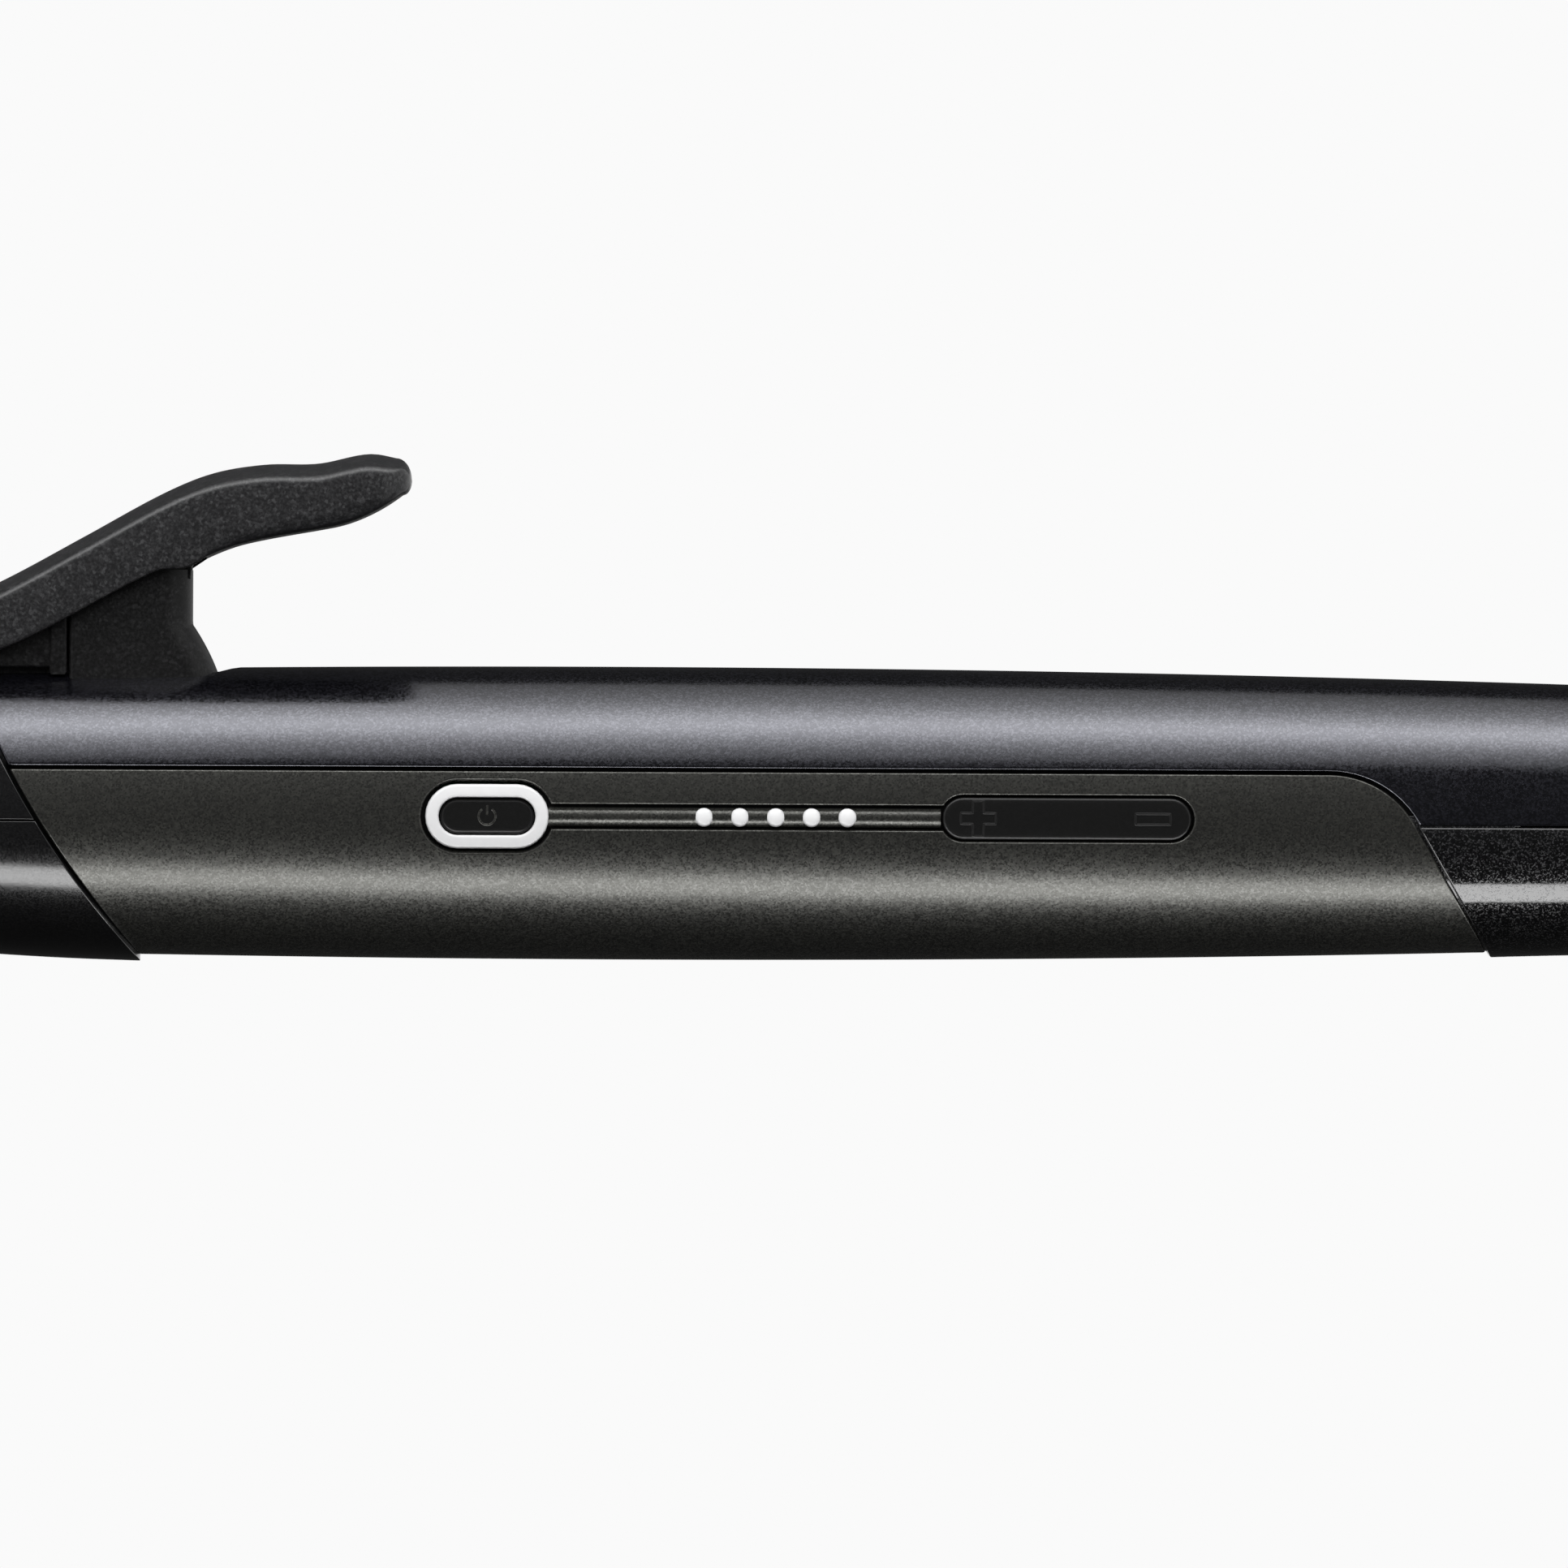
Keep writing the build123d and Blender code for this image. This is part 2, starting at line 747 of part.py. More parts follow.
# Control board, screwed to the panel's bosses, with its switches and lamps
board_start = pad_start + board_margin
board_end = pad_end - board_margin
switch_xs = (power_x, rocker_x - rocker_stem_reach, rocker_x + rocker_stem_reach)
with BuildPart() as control_board:
    with BuildSketch(Plane.XZ.offset(board_back)):
        with Locations(((board_start + board_end) / 2, control_z)):
            Rectangle(board_end - board_start, board_height)
        with Locations(*[(x, control_z) for x in board_boss_xs]):
            Circle(screw_radius + fit, mode=Mode.SUBTRACT)
    extrude(amount=board_thickness)
keep(control_board.part, "control_board")

with BuildPart() as tact_switches:
    with BuildSketch(Plane.XZ.offset(board_front)):
        with Locations(*[(x, control_z) for x in switch_xs]):
            Rectangle(switch_side, switch_side)
    extrude(amount=switch_height)
    with BuildSketch(Plane.XZ.offset(board_front + switch_height)):
        with Locations(*[(x, control_z) for x in switch_xs]):
            Circle(plunger_radius)
    extrude(amount=plunger_height)
keep(tact_switches.part, "tact_switches")

with BuildPart() as indicator_leds:
    with BuildSketch(Plane.XZ.offset(board_front)):
        with Locations(*[(x, control_z) for x in lamp_xs]):
            Rectangle(chip_length, chip_length)
    extrude(amount=chip_height)
keep(indicator_leds.part, "indicator_leds")

with BuildPart() as board_screws:
    with BuildSketch(Plane.XZ.offset(board_back)):
        with Locations(*[(x, control_z) for x in board_boss_xs]):
            Circle(screw_radius)
    extrude(amount=board_thickness + screw_bite - fit)
    with BuildSketch(Plane.XZ.offset(board_back)):
        with Locations(*[(x, control_z) for x in board_boss_xs]):
            Circle(screw_head_radius)
    extrude(amount=-screw_head)
keep(board_screws.part, "board_screws")

components = (
    ("film_capacitor", power_x + capacitor_offset, capacitor_size),
    ("triac", lamp_x + triac_offset, triac_size),
)
for name, x, size in components:
    with BuildPart() as component:
        with BuildSketch(Plane.XZ.offset(board_back)):
            with Locations((x, control_z)):
                Rectangle(size[0], size[2])
        extrude(amount=-size[1])
    keep(component.part, name)

# Hinge post: screwed to the upper shell from inside, with two ears for the hinge pin
cradle_radius = knuckle_radius + cradle_gap
post_low_z = seat_z - skin
with BuildPart() as post_bed:
    add(handle_bar(-fit))
    add(post_seat.part, mode=Mode.SUBTRACT)

with BuildPart() as hinge_post:
    with BuildSketch(Plane.XZ):
        with BuildLine():
            Polyline(
                (post_foot[0], post_low_z),
                (post_left, post_low_z),
                (post_left, post_left_top),
                (pivot_x - ear_radius, pivot_z - knuckle_radius + fit),
                (post_right, pivot_z - knuckle_radius + fit),
                post_kink,
            )
            SagittaArc(post_kink, post_foot, post_foot_bulge)
            Line(post_foot, (post_foot[0], post_low_z))
        make_face()
    extrude(amount=post_half_width, both=True)
    front_edges = hinge_post.edges().filter_by(lambda edge: edge.center().X > post_right - fit)
    fillet(front_edges.filter_by(lambda edge: abs(edge.center().Y) > fit), post_edge)
    add(post_bed.part, mode=Mode.SUBTRACT)
    with BuildSketch(Plane.XZ):
        with Locations((pivot_x, pivot_z)):
            Circle(cradle_radius)
    extrude(amount=post_half_width, both=True, mode=Mode.SUBTRACT)
    with BuildSketch(Plane.XZ):
        with Locations((pivot_x, pivot_z)):
            Circle(ear_radius)
        with Locations((pivot_x, pivot_z - cradle_radius / 2 - fit)):
            Rectangle(2 * ear_radius, cradle_radius + 2 * fit)
    extrude(amount=ear_outer, both=True)
    with BuildSketch(Plane.XZ):
        with BuildLine():
            Polyline(
                (spring_pocket_left, pivot_z - spring_pocket_depth),
                (spring_pocket_right, pivot_z - spring_pocket_depth),
                (spring_pocket_right, pivot_z - cradle_radius),
                (post_foot[0], pivot_z - cradle_radius),
                (post_foot[0], pivot_z + 2 * ear_radius),
                (spring_pocket_left, pivot_z + 2 * ear_radius),
                close=True,
            )
        make_face()
    extrude(amount=ear_inner, both=True, mode=Mode.SUBTRACT)
    with BuildSketch(Plane.XZ):
        with Locations((pivot_x, pivot_z)):
            Circle(hinge_pin_radius + hinge_pin_play)
    extrude(amount=post_half_width, both=True, mode=Mode.SUBTRACT)
    with BuildSketch(Plane.XY.offset(post_low_z)):
        with Locations(*[(x, 0) for x in post_screw_xs]):
            Circle(post_screw_radius + fit)
    extrude(amount=skin + post_screw_bite + fit, mode=Mode.SUBTRACT)
keep(hinge_post.part, "hinge_post")

with BuildPart() as post_screws:
    with BuildSketch(Plane.XY.offset(post_head_top)):
        with Locations(*[(x, 0) for x in post_screw_xs]):
            Circle(post_screw_radius)
    extrude(amount=seat_z + post_screw_bite - post_head_top)
    with BuildSketch(Plane.XY.offset(post_head_top - post_screw_head)):
        with Locations(*[(x, 0) for x in post_screw_xs]):
            Circle(post_screw_head_radius)
    extrude(amount=post_screw_head)
keep(post_screws.part, "post_screws")

# Thumb lever: a hollow beam that straddles the post and reaches forward over the neck
rib_face = post_left - lever_gap
straddle = post_half_width + lever_gap
ear_room = ear_radius + lever_gap
swing_top = (pivot_x + ear_room / cos(radians(clamp_opening)), pivot_z)
swing_low = (swing_top[0] + (pivot_z - neck_radius) * tan(radians(clamp_opening)), neck_radius)
with BuildPart() as lever_plan:
    with BuildSketch() as plan:
        with BuildLine():
            Polyline(
                (lever_root_end, lever_root_half_width),
                (lever_waist_x, lever_root_half_width),
                (lever_shoulder_x, lever_half_width),
                (lever_tip_x, lever_half_width),
                (lever_tip_x, -lever_half_width),
                (lever_shoulder_x, -lever_half_width),
                (lever_waist_x, -lever_root_half_width),
                (lever_root_end, -lever_root_half_width),
                close=True,
            )
        make_face()
        fillet(plan.vertices().group_by(Axis.X)[-1], lever_tip_round)
        fillet(plan.vertices().group_by(Axis.X)[0], lever_root_half_width - fit)
    extrude(amount=2 * pivot_z)

with BuildPart() as above_crown:
    with BuildLine() as crown_line:
        Spline(*[(x, 0, z) for x, z in lever_crown_line], tangents=((1, 0, 0), (1, 0, -lever_tip_fall)))
    with BuildSketch(Plane(origin=crown_line.line @ 0, x_dir=(0, 1, 0), z_dir=crown_line.line % 0)):
        with BuildLine():
            ThreePointArc((-lever_half_width, -lever_crown), (0, 0), (lever_half_width, -lever_crown))
            Polyline(
                (lever_half_width, -lever_crown),
                (lever_half_width + trim, -lever_crown),
                (lever_half_width + trim, lever_roof),
                (-lever_half_width - trim, lever_roof),
                (-lever_half_width - trim, -lever_crown),
                (-lever_half_width, -lever_crown),
            )
        make_face()
    sweep(path=crown_line.line)

with BuildPart() as lever_room:
    add(collar_bar(lever_clearance))
    add(neck_side, mode=Mode.INTERSECT)
    add(handle_bar(-lever_clearance))
    with BuildSketch(Plane.YZ.offset(-lever_clearance)):
        Circle(neck_radius + lever_clearance)
    extrude(amount=2 * lever_clearance)
    with BuildSketch(Plane.YZ.offset(lever_root_end - trim)):
        Circle(spoon_outer + hinge_pin_play)
    extrude(amount=-lever_root_end)

with BuildPart() as gusset:
    with BuildSketch(Plane.XZ):
        with BuildLine():
            Polyline(
                (lever_waist_x, seat_z),
                (rib_face, neck_radius),
                (rib_face, post_left_top),
                (lever_side_root[0], lever_side_root[1] + trim),
                close=True,
            )
        make_face()
    extrude(amount=post_half_width - gusset_inset, both=True)
    add(handle_bar(-gusset_lift), mode=Mode.SUBTRACT)
    with BuildSketch(Plane.XZ):
        with BuildLine():
            Polyline(
                (rib_face - rib_thickness, neck_radius),
                (rib_face, neck_radius),
                (rib_face, post_left_top),
                (rib_face - rib_thickness, post_left_top),
                close=True,
            )
        make_face()
    extrude(amount=post_half_width, both=True)

with BuildPart() as thumb_lever:
    with BuildSketch(Plane.XZ):
        with BuildLine():
            tip_top = (lever_crown_line[-2][0], lever_crown_line[-2][1] + lever_roof / 2)
            raised = [(x, z + lever_roof / 2) for x, z in lever_crown_line[:-2]]
            Spline(*raised, tip_top, tangents=((1, 0), (1, -lever_tip_fall)))
            Line(tip_top, (lever_tip_x, lever_tip_z))
            ThreePointArc(
                (lever_tip_x, lever_tip_z),
                (lever_tip_x - lever_tip_bulge, (lever_tip_z + lever_tip_low[1]) / 2),
                lever_tip_low,
            )
            under = (lever_under_bend[0] - lever_under_start[0], lever_under_bend[1] - lever_under_start[1])
            TangentArc(lever_under_bend, lever_tip_low, tangent=under)
            Polyline(
                lever_under_bend,
                lever_under_start,
                (pivot_x + knuckle_radius / 2, pivot_z - knuckle_radius * sqrt(3) / 2),
                lever_side_low,
                lever_side_root,
                (lever_waist_x, neck_radius),
                (lever_root_end, neck_radius - trim),
                raised[0],
            )
        make_face()
    extrude(amount=lever_half_width, both=True)
    add(lever_plan.part, mode=Mode.INTERSECT)
    add(above_crown.part, mode=Mode.SUBTRACT)
    add(gusset.part)
    add(lever_room.part, mode=Mode.SUBTRACT)
    with BuildSketch(Plane.XZ):
        with BuildLine():
            Polyline(
                (rib_face, neck_radius),
                (rib_face, lever_roof_left),
                (pivot_x - ear_radius + fit, pivot_z + ear_room),
                (swing_top[0], pivot_z + ear_room),
                swing_top,
                swing_low,
                close=True,
            )
        make_face()
    extrude(amount=straddle, both=True, mode=Mode.SUBTRACT)
    for side in (-1, 1):
        with BuildSketch(Plane.XZ.offset(side * (knuckle_inner + lever_half_width) / 2)):
            with Locations((pivot_x, pivot_z)):
                Circle(knuckle_radius)
        extrude(amount=(lever_half_width - knuckle_inner) / 2, both=True)
    with BuildSketch(Plane.XZ.offset(lever_half_width - hinge_pin_blind)):
        with Locations((pivot_x, pivot_z)):
            Circle(hinge_pin_radius + hinge_pin_play / 2)
    extrude(amount=-2 * lever_half_width, mode=Mode.SUBTRACT)
    with BuildSketch(Plane.XY.offset(spoon_outer - trim)):
        with Locations(*[(x, 0) for x in rivet_xs]):
            Circle(rivet_radius + hinge_pin_play)
    extrude(amount=pivot_z, mode=Mode.SUBTRACT)
    with BuildSketch(Plane.XY.offset(spoon_outer + rivet_grip)):
        with Locations(*[(x, 0) for x in rivet_xs]):
            Circle(rivet_head_radius + fit)
    extrude(amount=pivot_z, mode=Mode.SUBTRACT)
keep(thumb_lever.part, "thumb_lever")

with BuildPart() as hinge_pin:
    with BuildSketch(Plane.XZ.offset(lever_half_width - hinge_pin_blind - fit)):
        with Locations((pivot_x, pivot_z)):
            Circle(hinge_pin_radius)
    extrude(amount=hinge_pin_blind + 2 * fit - 2 * lever_half_width)
keep(hinge_pin.part, "hinge_pin")

# Torsion spring that holds the clamp shut, wound round the hinge pin
coil_length = spring_turns * spring_pitch
with BuildPart() as torsion_spring:
    with BuildLine() as coil:
        Helix(
            spring_pitch,
            coil_length,
            spring_radius,
            center=(pivot_x, -coil_length / 2, pivot_z),
            direction=(0, 1, 0),
            lefthand=True,
        )
    with BuildSketch(Plane(origin=coil.line @ 0, z_dir=coil.line % 0)):
        Circle(spring_wire)
    sweep(path=coil.line, is_frenet=True)
    for wire_end in torsion_spring.faces().filter_by(GeomType.PLANE):
        extrude(wire_end, amount=spring_leg)
keep(torsion_spring.part, "torsion_spring")

# Clamp spoon: a curved sheet over the barrel, riveted under the lever's root
half_arc = radians(spoon_arc / 2)
with BuildPart() as spoon_plan:
    with BuildSketch():
        with BuildLine():
            taper_x = spoon_start + spoon_tip_half_width
            full = spoon_outer * sin(half_arc)
            ThreePointArc(
                (taper_x, -spoon_tip_half_width),
                (spoon_start, 0),
                (taper_x, spoon_tip_half_width),
            )
            Polyline(
                (taper_x, spoon_tip_half_width),
                (spoon_taper_x, full),
                (spoon_end, full),
                (spoon_end, -full),
                (spoon_taper_x, -full),
                (taper_x, -spoon_tip_half_width),
            )
        make_face()
    extrude(amount=2 * barrel_radius)

with BuildPart() as clamp_spoon:
    with BuildSketch(Plane.YZ.offset(spoon_start)):
        Circle(spoon_outer)
        Circle(spoon_inner, mode=Mode.SUBTRACT)
        with Locations((0, spoon_outer * cos(half_arc) + barrel_radius)):
            Rectangle(4 * barrel_radius, 2 * barrel_radius, mode=Mode.INTERSECT)
    extrude(amount=spoon_end - spoon_start)
    add(spoon_plan.part, mode=Mode.INTERSECT)
    with BuildSketch():
        with Locations(*[(x, 0) for x in rivet_xs]):
            Circle(rivet_radius + hinge_pin_play)
    extrude(amount=2 * barrel_radius, mode=Mode.SUBTRACT)
keep(clamp_spoon.part, "clamp_spoon")

with BuildPart() as clamp_rivets:
    with BuildSketch(Plane.XY.offset(spoon_inner)):
        with Locations(*[(x, 0) for x in rivet_xs]):
            Circle(rivet_radius)
    extrude(amount=spoon_sheet + rivet_grip)
    with BuildSketch(Plane.XY.offset(spoon_outer + rivet_grip)):
        with Locations(*[(x, 0) for x in rivet_xs]):
            Circle(rivet_head_radius)
    extrude(amount=rivet_head)
    fillet(clamp_rivets.faces().group_by(Axis.Z)[-1].edges(), rivet_head / 2)
keep(clamp_rivets.part, "clamp_rivets")

# Barrel tube, and the spigot that carries it inside the neck
with BuildPart() as barrel_tube:
    with BuildSketch(Plane.YZ.offset(-barrel_length)):
        Circle(barrel_radius)
        Circle(barrel_bore, mode=Mode.SUBTRACT)
    extrude(amount=barrel_length + barrel_socket)
keep(barrel_tube.part, "barrel_tube")

with BuildPart() as barrel_spigot:
    with BuildSketch(Plane.YZ.offset(barrel_socket - spigot_disc)):
        Circle(barrel_bore - fit / 2)
    extrude(amount=spigot_disc)
    with BuildSketch(Plane.YZ.offset(barrel_socket)):
        Circle(spigot_radius)
    extrude(amount=bush_length)
    with BuildSketch(Plane.YZ.offset(barrel_socket - spigot_disc)):
        Circle(spigot_radius - spigot_wall)
    extrude(amount=spigot_disc + bush_length, mode=Mode.SUBTRACT)
keep(barrel_spigot.part, "barrel_spigot")

with BuildPart() as insulating_bush:
    with BuildSketch(Plane.YZ.offset(bush_start)):
        Circle(bush_radius)
        Circle(spigot_radius + fit / 2, mode=Mode.SUBTRACT)
    extrude(amount=bush_length)
keep(insulating_bush.part, "insulating_bush")

# Heater: a ceramic plate between two hollow spreaders that fill the barrel
heater_start = tip_plug + washer_thickness + heater_margin - barrel_length
heater_length = heater_end - heater_start
with BuildPart() as ceramic_heater:
    with BuildSketch(Plane.YZ.offset(heater_start)):
        Rectangle(heater_width, heater_thickness)
    extrude(amount=heater_length)
keep(ceramic_heater.part, "ceramic_heater")

for name, side in (("heat_spreader_upper", 1), ("heat_spreader_lower", -1)):
    with BuildPart() as spreader:
        with BuildSketch(Plane.YZ.offset(heater_start)):
            Circle(barrel_bore - fit)
            Circle(barrel_bore - fit - spreader_wall, mode=Mode.SUBTRACT)
            with Locations((0, side * (heater_thickness + spreader_wall) / 2)):
                Rectangle(2 * (barrel_bore - spreader_wall), spreader_wall)
            with Locations((0, side * (barrel_bore + heater_thickness / 2))):
                Rectangle(2 * barrel_bore, 2 * barrel_bore, mode=Mode.INTERSECT)
        extrude(amount=heater_length)
    keep(spreader.part, name)

shelf = heater_thickness / 2 + spreader_wall
capsules = (
    ("thermistor", sensor_radius, sensor_length, shelf + sensor_radius),
    ("thermal_fuse", fuse_radius, fuse_length, -shelf - fuse_radius),
)
for name, radius, length, z in capsules:
    with BuildPart() as capsule:
        with BuildSketch(Plane.YZ.offset(heater_end - 2 * fuse_length)):
            with Locations((0, z)):
                Circle(radius)
        extrude(amount=length)
    keep(capsule.part, name)

# Cool tip plugged into the barrel's end, with an insulating washer behind it
tip_end = -barrel_length - tip_length
with BuildPart() as cool_tip:
    with BuildSketch(Plane.YZ.offset(tip_end)):
        Circle(tip_radius)
    extrude(amount=tip_length)
    fillet(cool_tip.edges().group_by(Axis.X)[0], tip_radius / 3)
    with BuildSketch(Plane.YZ.offset(-barrel_length)):
        Circle(barrel_bore - fit / 2)
    extrude(amount=tip_plug)
    with BuildSketch(Plane.YZ.offset(tip_end + 2 * tip_wall)):
        Circle(barrel_bore - tip_wall)
    extrude(amount=tip_length + tip_plug, mode=Mode.SUBTRACT)
    for i in range(tip_groove_count):
        groove_x = tip_end + tip_length / 2 + (2 * i - 1) * tip_groove_width
        with BuildSketch(Plane.YZ.offset(groove_x)):
            Circle(2 * tip_radius)
            Circle(tip_radius - tip_groove_depth, mode=Mode.SUBTRACT)
        extrude(amount=tip_groove_width, mode=Mode.SUBTRACT)
keep(cool_tip.part, "cool_tip")

with BuildPart() as tip_washer:
    with BuildSketch(Plane.YZ.offset(-barrel_length + tip_plug)):
        Circle(barrel_bore - fit / 2)
    extrude(amount=washer_thickness)
keep(tip_washer.part, "tip_washer")

# Wire stand that swings out under the neck, with a rubber sleeve on its foot
stand_plane = Plane(
    origin=(stand_x, 0, split_z),
    x_dir=(0, 1, 0),
    z_dir=(-cos(lean), 0, sin(lean)),
)
stand_end = collar_bore + fit
with BuildPart() as stand_wire:
    with BuildLine(stand_plane) as route:
        FilletPolyline(
            (-stand_end, 0),
            (-stand_half_width, 0),
            (-stand_half_width, stand_leg),
            (stand_half_width, stand_leg),
            (stand_half_width, 0),
            (stand_end, 0),
            radius=stand_bend,
        )
    with BuildSketch(Plane(origin=route.line @ 0, z_dir=route.line % 0)):
        Circle(stand_wire_radius)
    sweep(path=route.line)
keep(stand_wire.part, "stand_wire")

sleeve_half = stand_half_width - stand_sleeve_margin
with BuildPart() as stand_sleeve:
    with BuildSketch(Plane.XZ.offset(-sleeve_half)):
        with Locations((foot_x, foot_z + stand_sleeve_radius)):
            Circle(stand_sleeve_radius)
            Circle(stand_wire_radius + fit / 4, mode=Mode.SUBTRACT)
    extrude(amount=2 * sleeve_half)
keep(stand_sleeve.part, "stand_sleeve")

# Cord swivel: a gland that turns in the tail, with slip rings on its inner shaft
stub_start = handle_length + swivel_face_gap
with BuildPart() as swivel_gland:
    with BuildSketch(Plane.XZ):
        with BuildLine():
            Polyline(
                (shaft_start, 0),
                (shaft_start, shaft_radius),
                (flange_end - swivel_flange, shaft_radius),
                (flange_end - swivel_flange, swivel_flange_radius),
                (flange_end, swivel_flange_radius),
                (flange_end, swivel_radius),
                (stub_start, swivel_radius),
                (stub_start, swivel_collar_radius),
                (stub_start + swivel_flange / 2, swivel_collar_radius),
                (stub_end, swivel_stub_radius),
                (stub_end, 0),
                close=True,
            )
        make_face()
    revolve(axis=Axis.X)
    with BuildSketch(Plane.YZ.offset(stub_end - swivel_bore_depth)):
        Circle(swivel_bore)
    extrude(amount=swivel_bore_depth, mode=Mode.SUBTRACT)
keep(swivel_gland.part, "swivel_gland")

with BuildPart() as slip_rings:
    for x in slip_ring_xs:
        with BuildSketch(Plane.YZ.offset(x)):
            Circle(slip_ring_radius)
            Circle(shaft_radius + fit / 4, mode=Mode.SUBTRACT)
        extrude(amount=slip_ring_width)
keep(slip_rings.part, "slip_rings")

with BuildPart() as swivel_bearing:
    with BuildSketch(Plane.YZ.offset(bearing_start)):
        Circle(bearing_radius)
        Circle(shaft_radius + swivel_play, mode=Mode.SUBTRACT)
        with Locations((-board_lead_y, -lead_spread), (-board_lead_y, lead_spread)):
            Circle(lead_radius + fit, mode=Mode.SUBTRACT)
    extrude(amount=bearing_thickness)
keep(swivel_bearing.part, "swivel_bearing")

with BuildPart() as brush_holder:
    with BuildSketch(Plane.XZ.offset(brush_block_y)):
        with Locations((block_start + brush_block_length / 2, 0)):
            Rectangle(brush_block_length, brush_block_height)
    extrude(amount=brush_block_thickness)
keep(brush_holder.part, "brush_holder")

brush_tip = slip_ring_radius + brush_gap
with BuildPart() as contact_brushes:
    with BuildSketch(Plane.XZ.offset(brush_tip)):
        with Locations(*[(x + slip_ring_width / 2, 0) for x in slip_ring_xs]):
            Rectangle(brush_width, brush_height)
    extrude(amount=brush_block_y - brush_tip)
keep(contact_brushes.part, "contact_brushes")

# Wiring: heater leads through the spigot to the board, and mains leads from the brushes
with BuildPart() as heater_leads:
    for z in (-lead_spread, lead_spread):
        with BuildLine(Plane.XY.offset(z)) as route:
            FilletPolyline(
                (heater_end, 0),
                (barrel_socket + bush_length, 0),
                (shell_screw_xs[0], -board_lead_y),
                (board_boss_xs[0] + 2 * boss_radius, -board_lead_y),
                radius=lead_bend,
            )
        with BuildSketch(Plane(origin=route.line @ 0, z_dir=route.line % 0)):
            Circle(lead_radius)
        sweep(path=route.line)
keep(heater_leads.part, "heater_leads")

with BuildPart() as mains_leads:
    with BuildSketch(Plane.YZ.offset(board_boss_xs[-1] - 2 * boss_radius)):
        with Locations((-board_lead_y, -lead_spread), (-board_lead_y, lead_spread)):
            Circle(lead_radius)
    extrude(amount=block_start - board_boss_xs[-1] + 2 * boss_radius)
keep(mains_leads.part, "mains_leads")
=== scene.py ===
"""Looks of the curling iron: finished shells, keys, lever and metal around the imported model."""

import json
from math import asin, atan2, cos, hypot, pi, radians, sin, sqrt, tan

import bmesh
import bpy
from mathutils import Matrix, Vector
from mathutils.geometry import delaunay_2d_cdt
from mathutils.kdtree import KDTree


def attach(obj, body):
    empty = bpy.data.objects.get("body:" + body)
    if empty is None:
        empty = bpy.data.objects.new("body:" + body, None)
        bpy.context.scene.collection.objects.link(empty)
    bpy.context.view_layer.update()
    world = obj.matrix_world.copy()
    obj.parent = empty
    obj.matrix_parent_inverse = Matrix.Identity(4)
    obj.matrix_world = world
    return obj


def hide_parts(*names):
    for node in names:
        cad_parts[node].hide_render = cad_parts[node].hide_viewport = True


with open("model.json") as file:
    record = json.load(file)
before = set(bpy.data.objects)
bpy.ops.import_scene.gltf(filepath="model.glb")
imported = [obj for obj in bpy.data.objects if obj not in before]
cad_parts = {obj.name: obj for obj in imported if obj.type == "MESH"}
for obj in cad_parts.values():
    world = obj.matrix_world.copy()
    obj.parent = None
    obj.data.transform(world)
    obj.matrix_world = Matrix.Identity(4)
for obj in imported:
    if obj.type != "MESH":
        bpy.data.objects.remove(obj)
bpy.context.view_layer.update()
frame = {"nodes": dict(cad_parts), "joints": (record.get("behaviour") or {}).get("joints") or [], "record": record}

# Sizes in millimetres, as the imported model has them: handle, neck and grip panel
mm = 0.001
handle_length = 215.0
belly_x = 89.8
belly_radius = 16.4
tail_radius = 14.3
tail_round = 5.0
swivel_hole = 7.08
neck_radius = 14.2
neck_bore = 13.0
neck_edge = 0.8
collar_mid_x = 20.0
collar_mid_radius = 16.1
collar_end_x = 40.0
collar_end_radius = 16.8
collar_wall = 0.9
slant_mid_x = 23.5
slant_lean = -0.5974
slant_bow = 0.00817
split_z = -1.2
split_gap = 0.2
collar_gap = 0.5
seam_gap = 0.4
tail_gap = 0.25
lip_depth = 0.15
lip_reach = 2.0
trough_top = radians(22)
trough_room = 0.1
lower_proud = 0.55
panel_top = 4.6
panel_corner_x = 175.0
panel_corner_round = 11.0
panel_end_angle = radians(60)
panel_wall = 1.2
shell_wall = 2.4
seat_z = 15.49
seat_end_x = 44.4
seat_ramp = 2.4
liner_start = 2.0
liner_stop = 45.0
liner_inner = 12.95
liner_outer = 13.15

# Controls
control_z = -0.5
power_x = 74.7
ring_length = 13.8
ring_height = 7.2
ring_rim = 1.5
ring_gap = 0.5
ring_proud = 0.15
ring_edge = 0.35
rocker_x = 139.4
rocker_length = 28.4
rocker_height = 5.3
rocker_gap = 0.25
rocker_sink = 0.1
rocker_dish = 0.03
groove_height = 2.8
groove_overlap = 0.1
well_depth = 1.9
well_margin = 1.0
key_depth = 1.2
key_gap = 0.15
key_edge = 0.4
key_slit = 0.02
button_sink = 0.25
button_dish = 0.05
mark_radius = 0.95
mark_bead = 0.13
mark_squash = 0.6
mark_start = radians(125)
mark_stop = radians(415)
mark_bar = (0.15, 1.235)
rocker_mark_level = -0.15
sign_size = 3.9
sign_bar = 1.2
plus_x = 129.5
minus_x = 149.0
lamp_x = 106.9
lamp_pitch = 4.0
lamp_count = 5
lamp_radius = 1.05
lamp_rise = 0.6
lamp_sink = 0.3
strip_half = 1.05
strip_low = -0.65
strip_rise = 0.6
strip_foot = 0.3

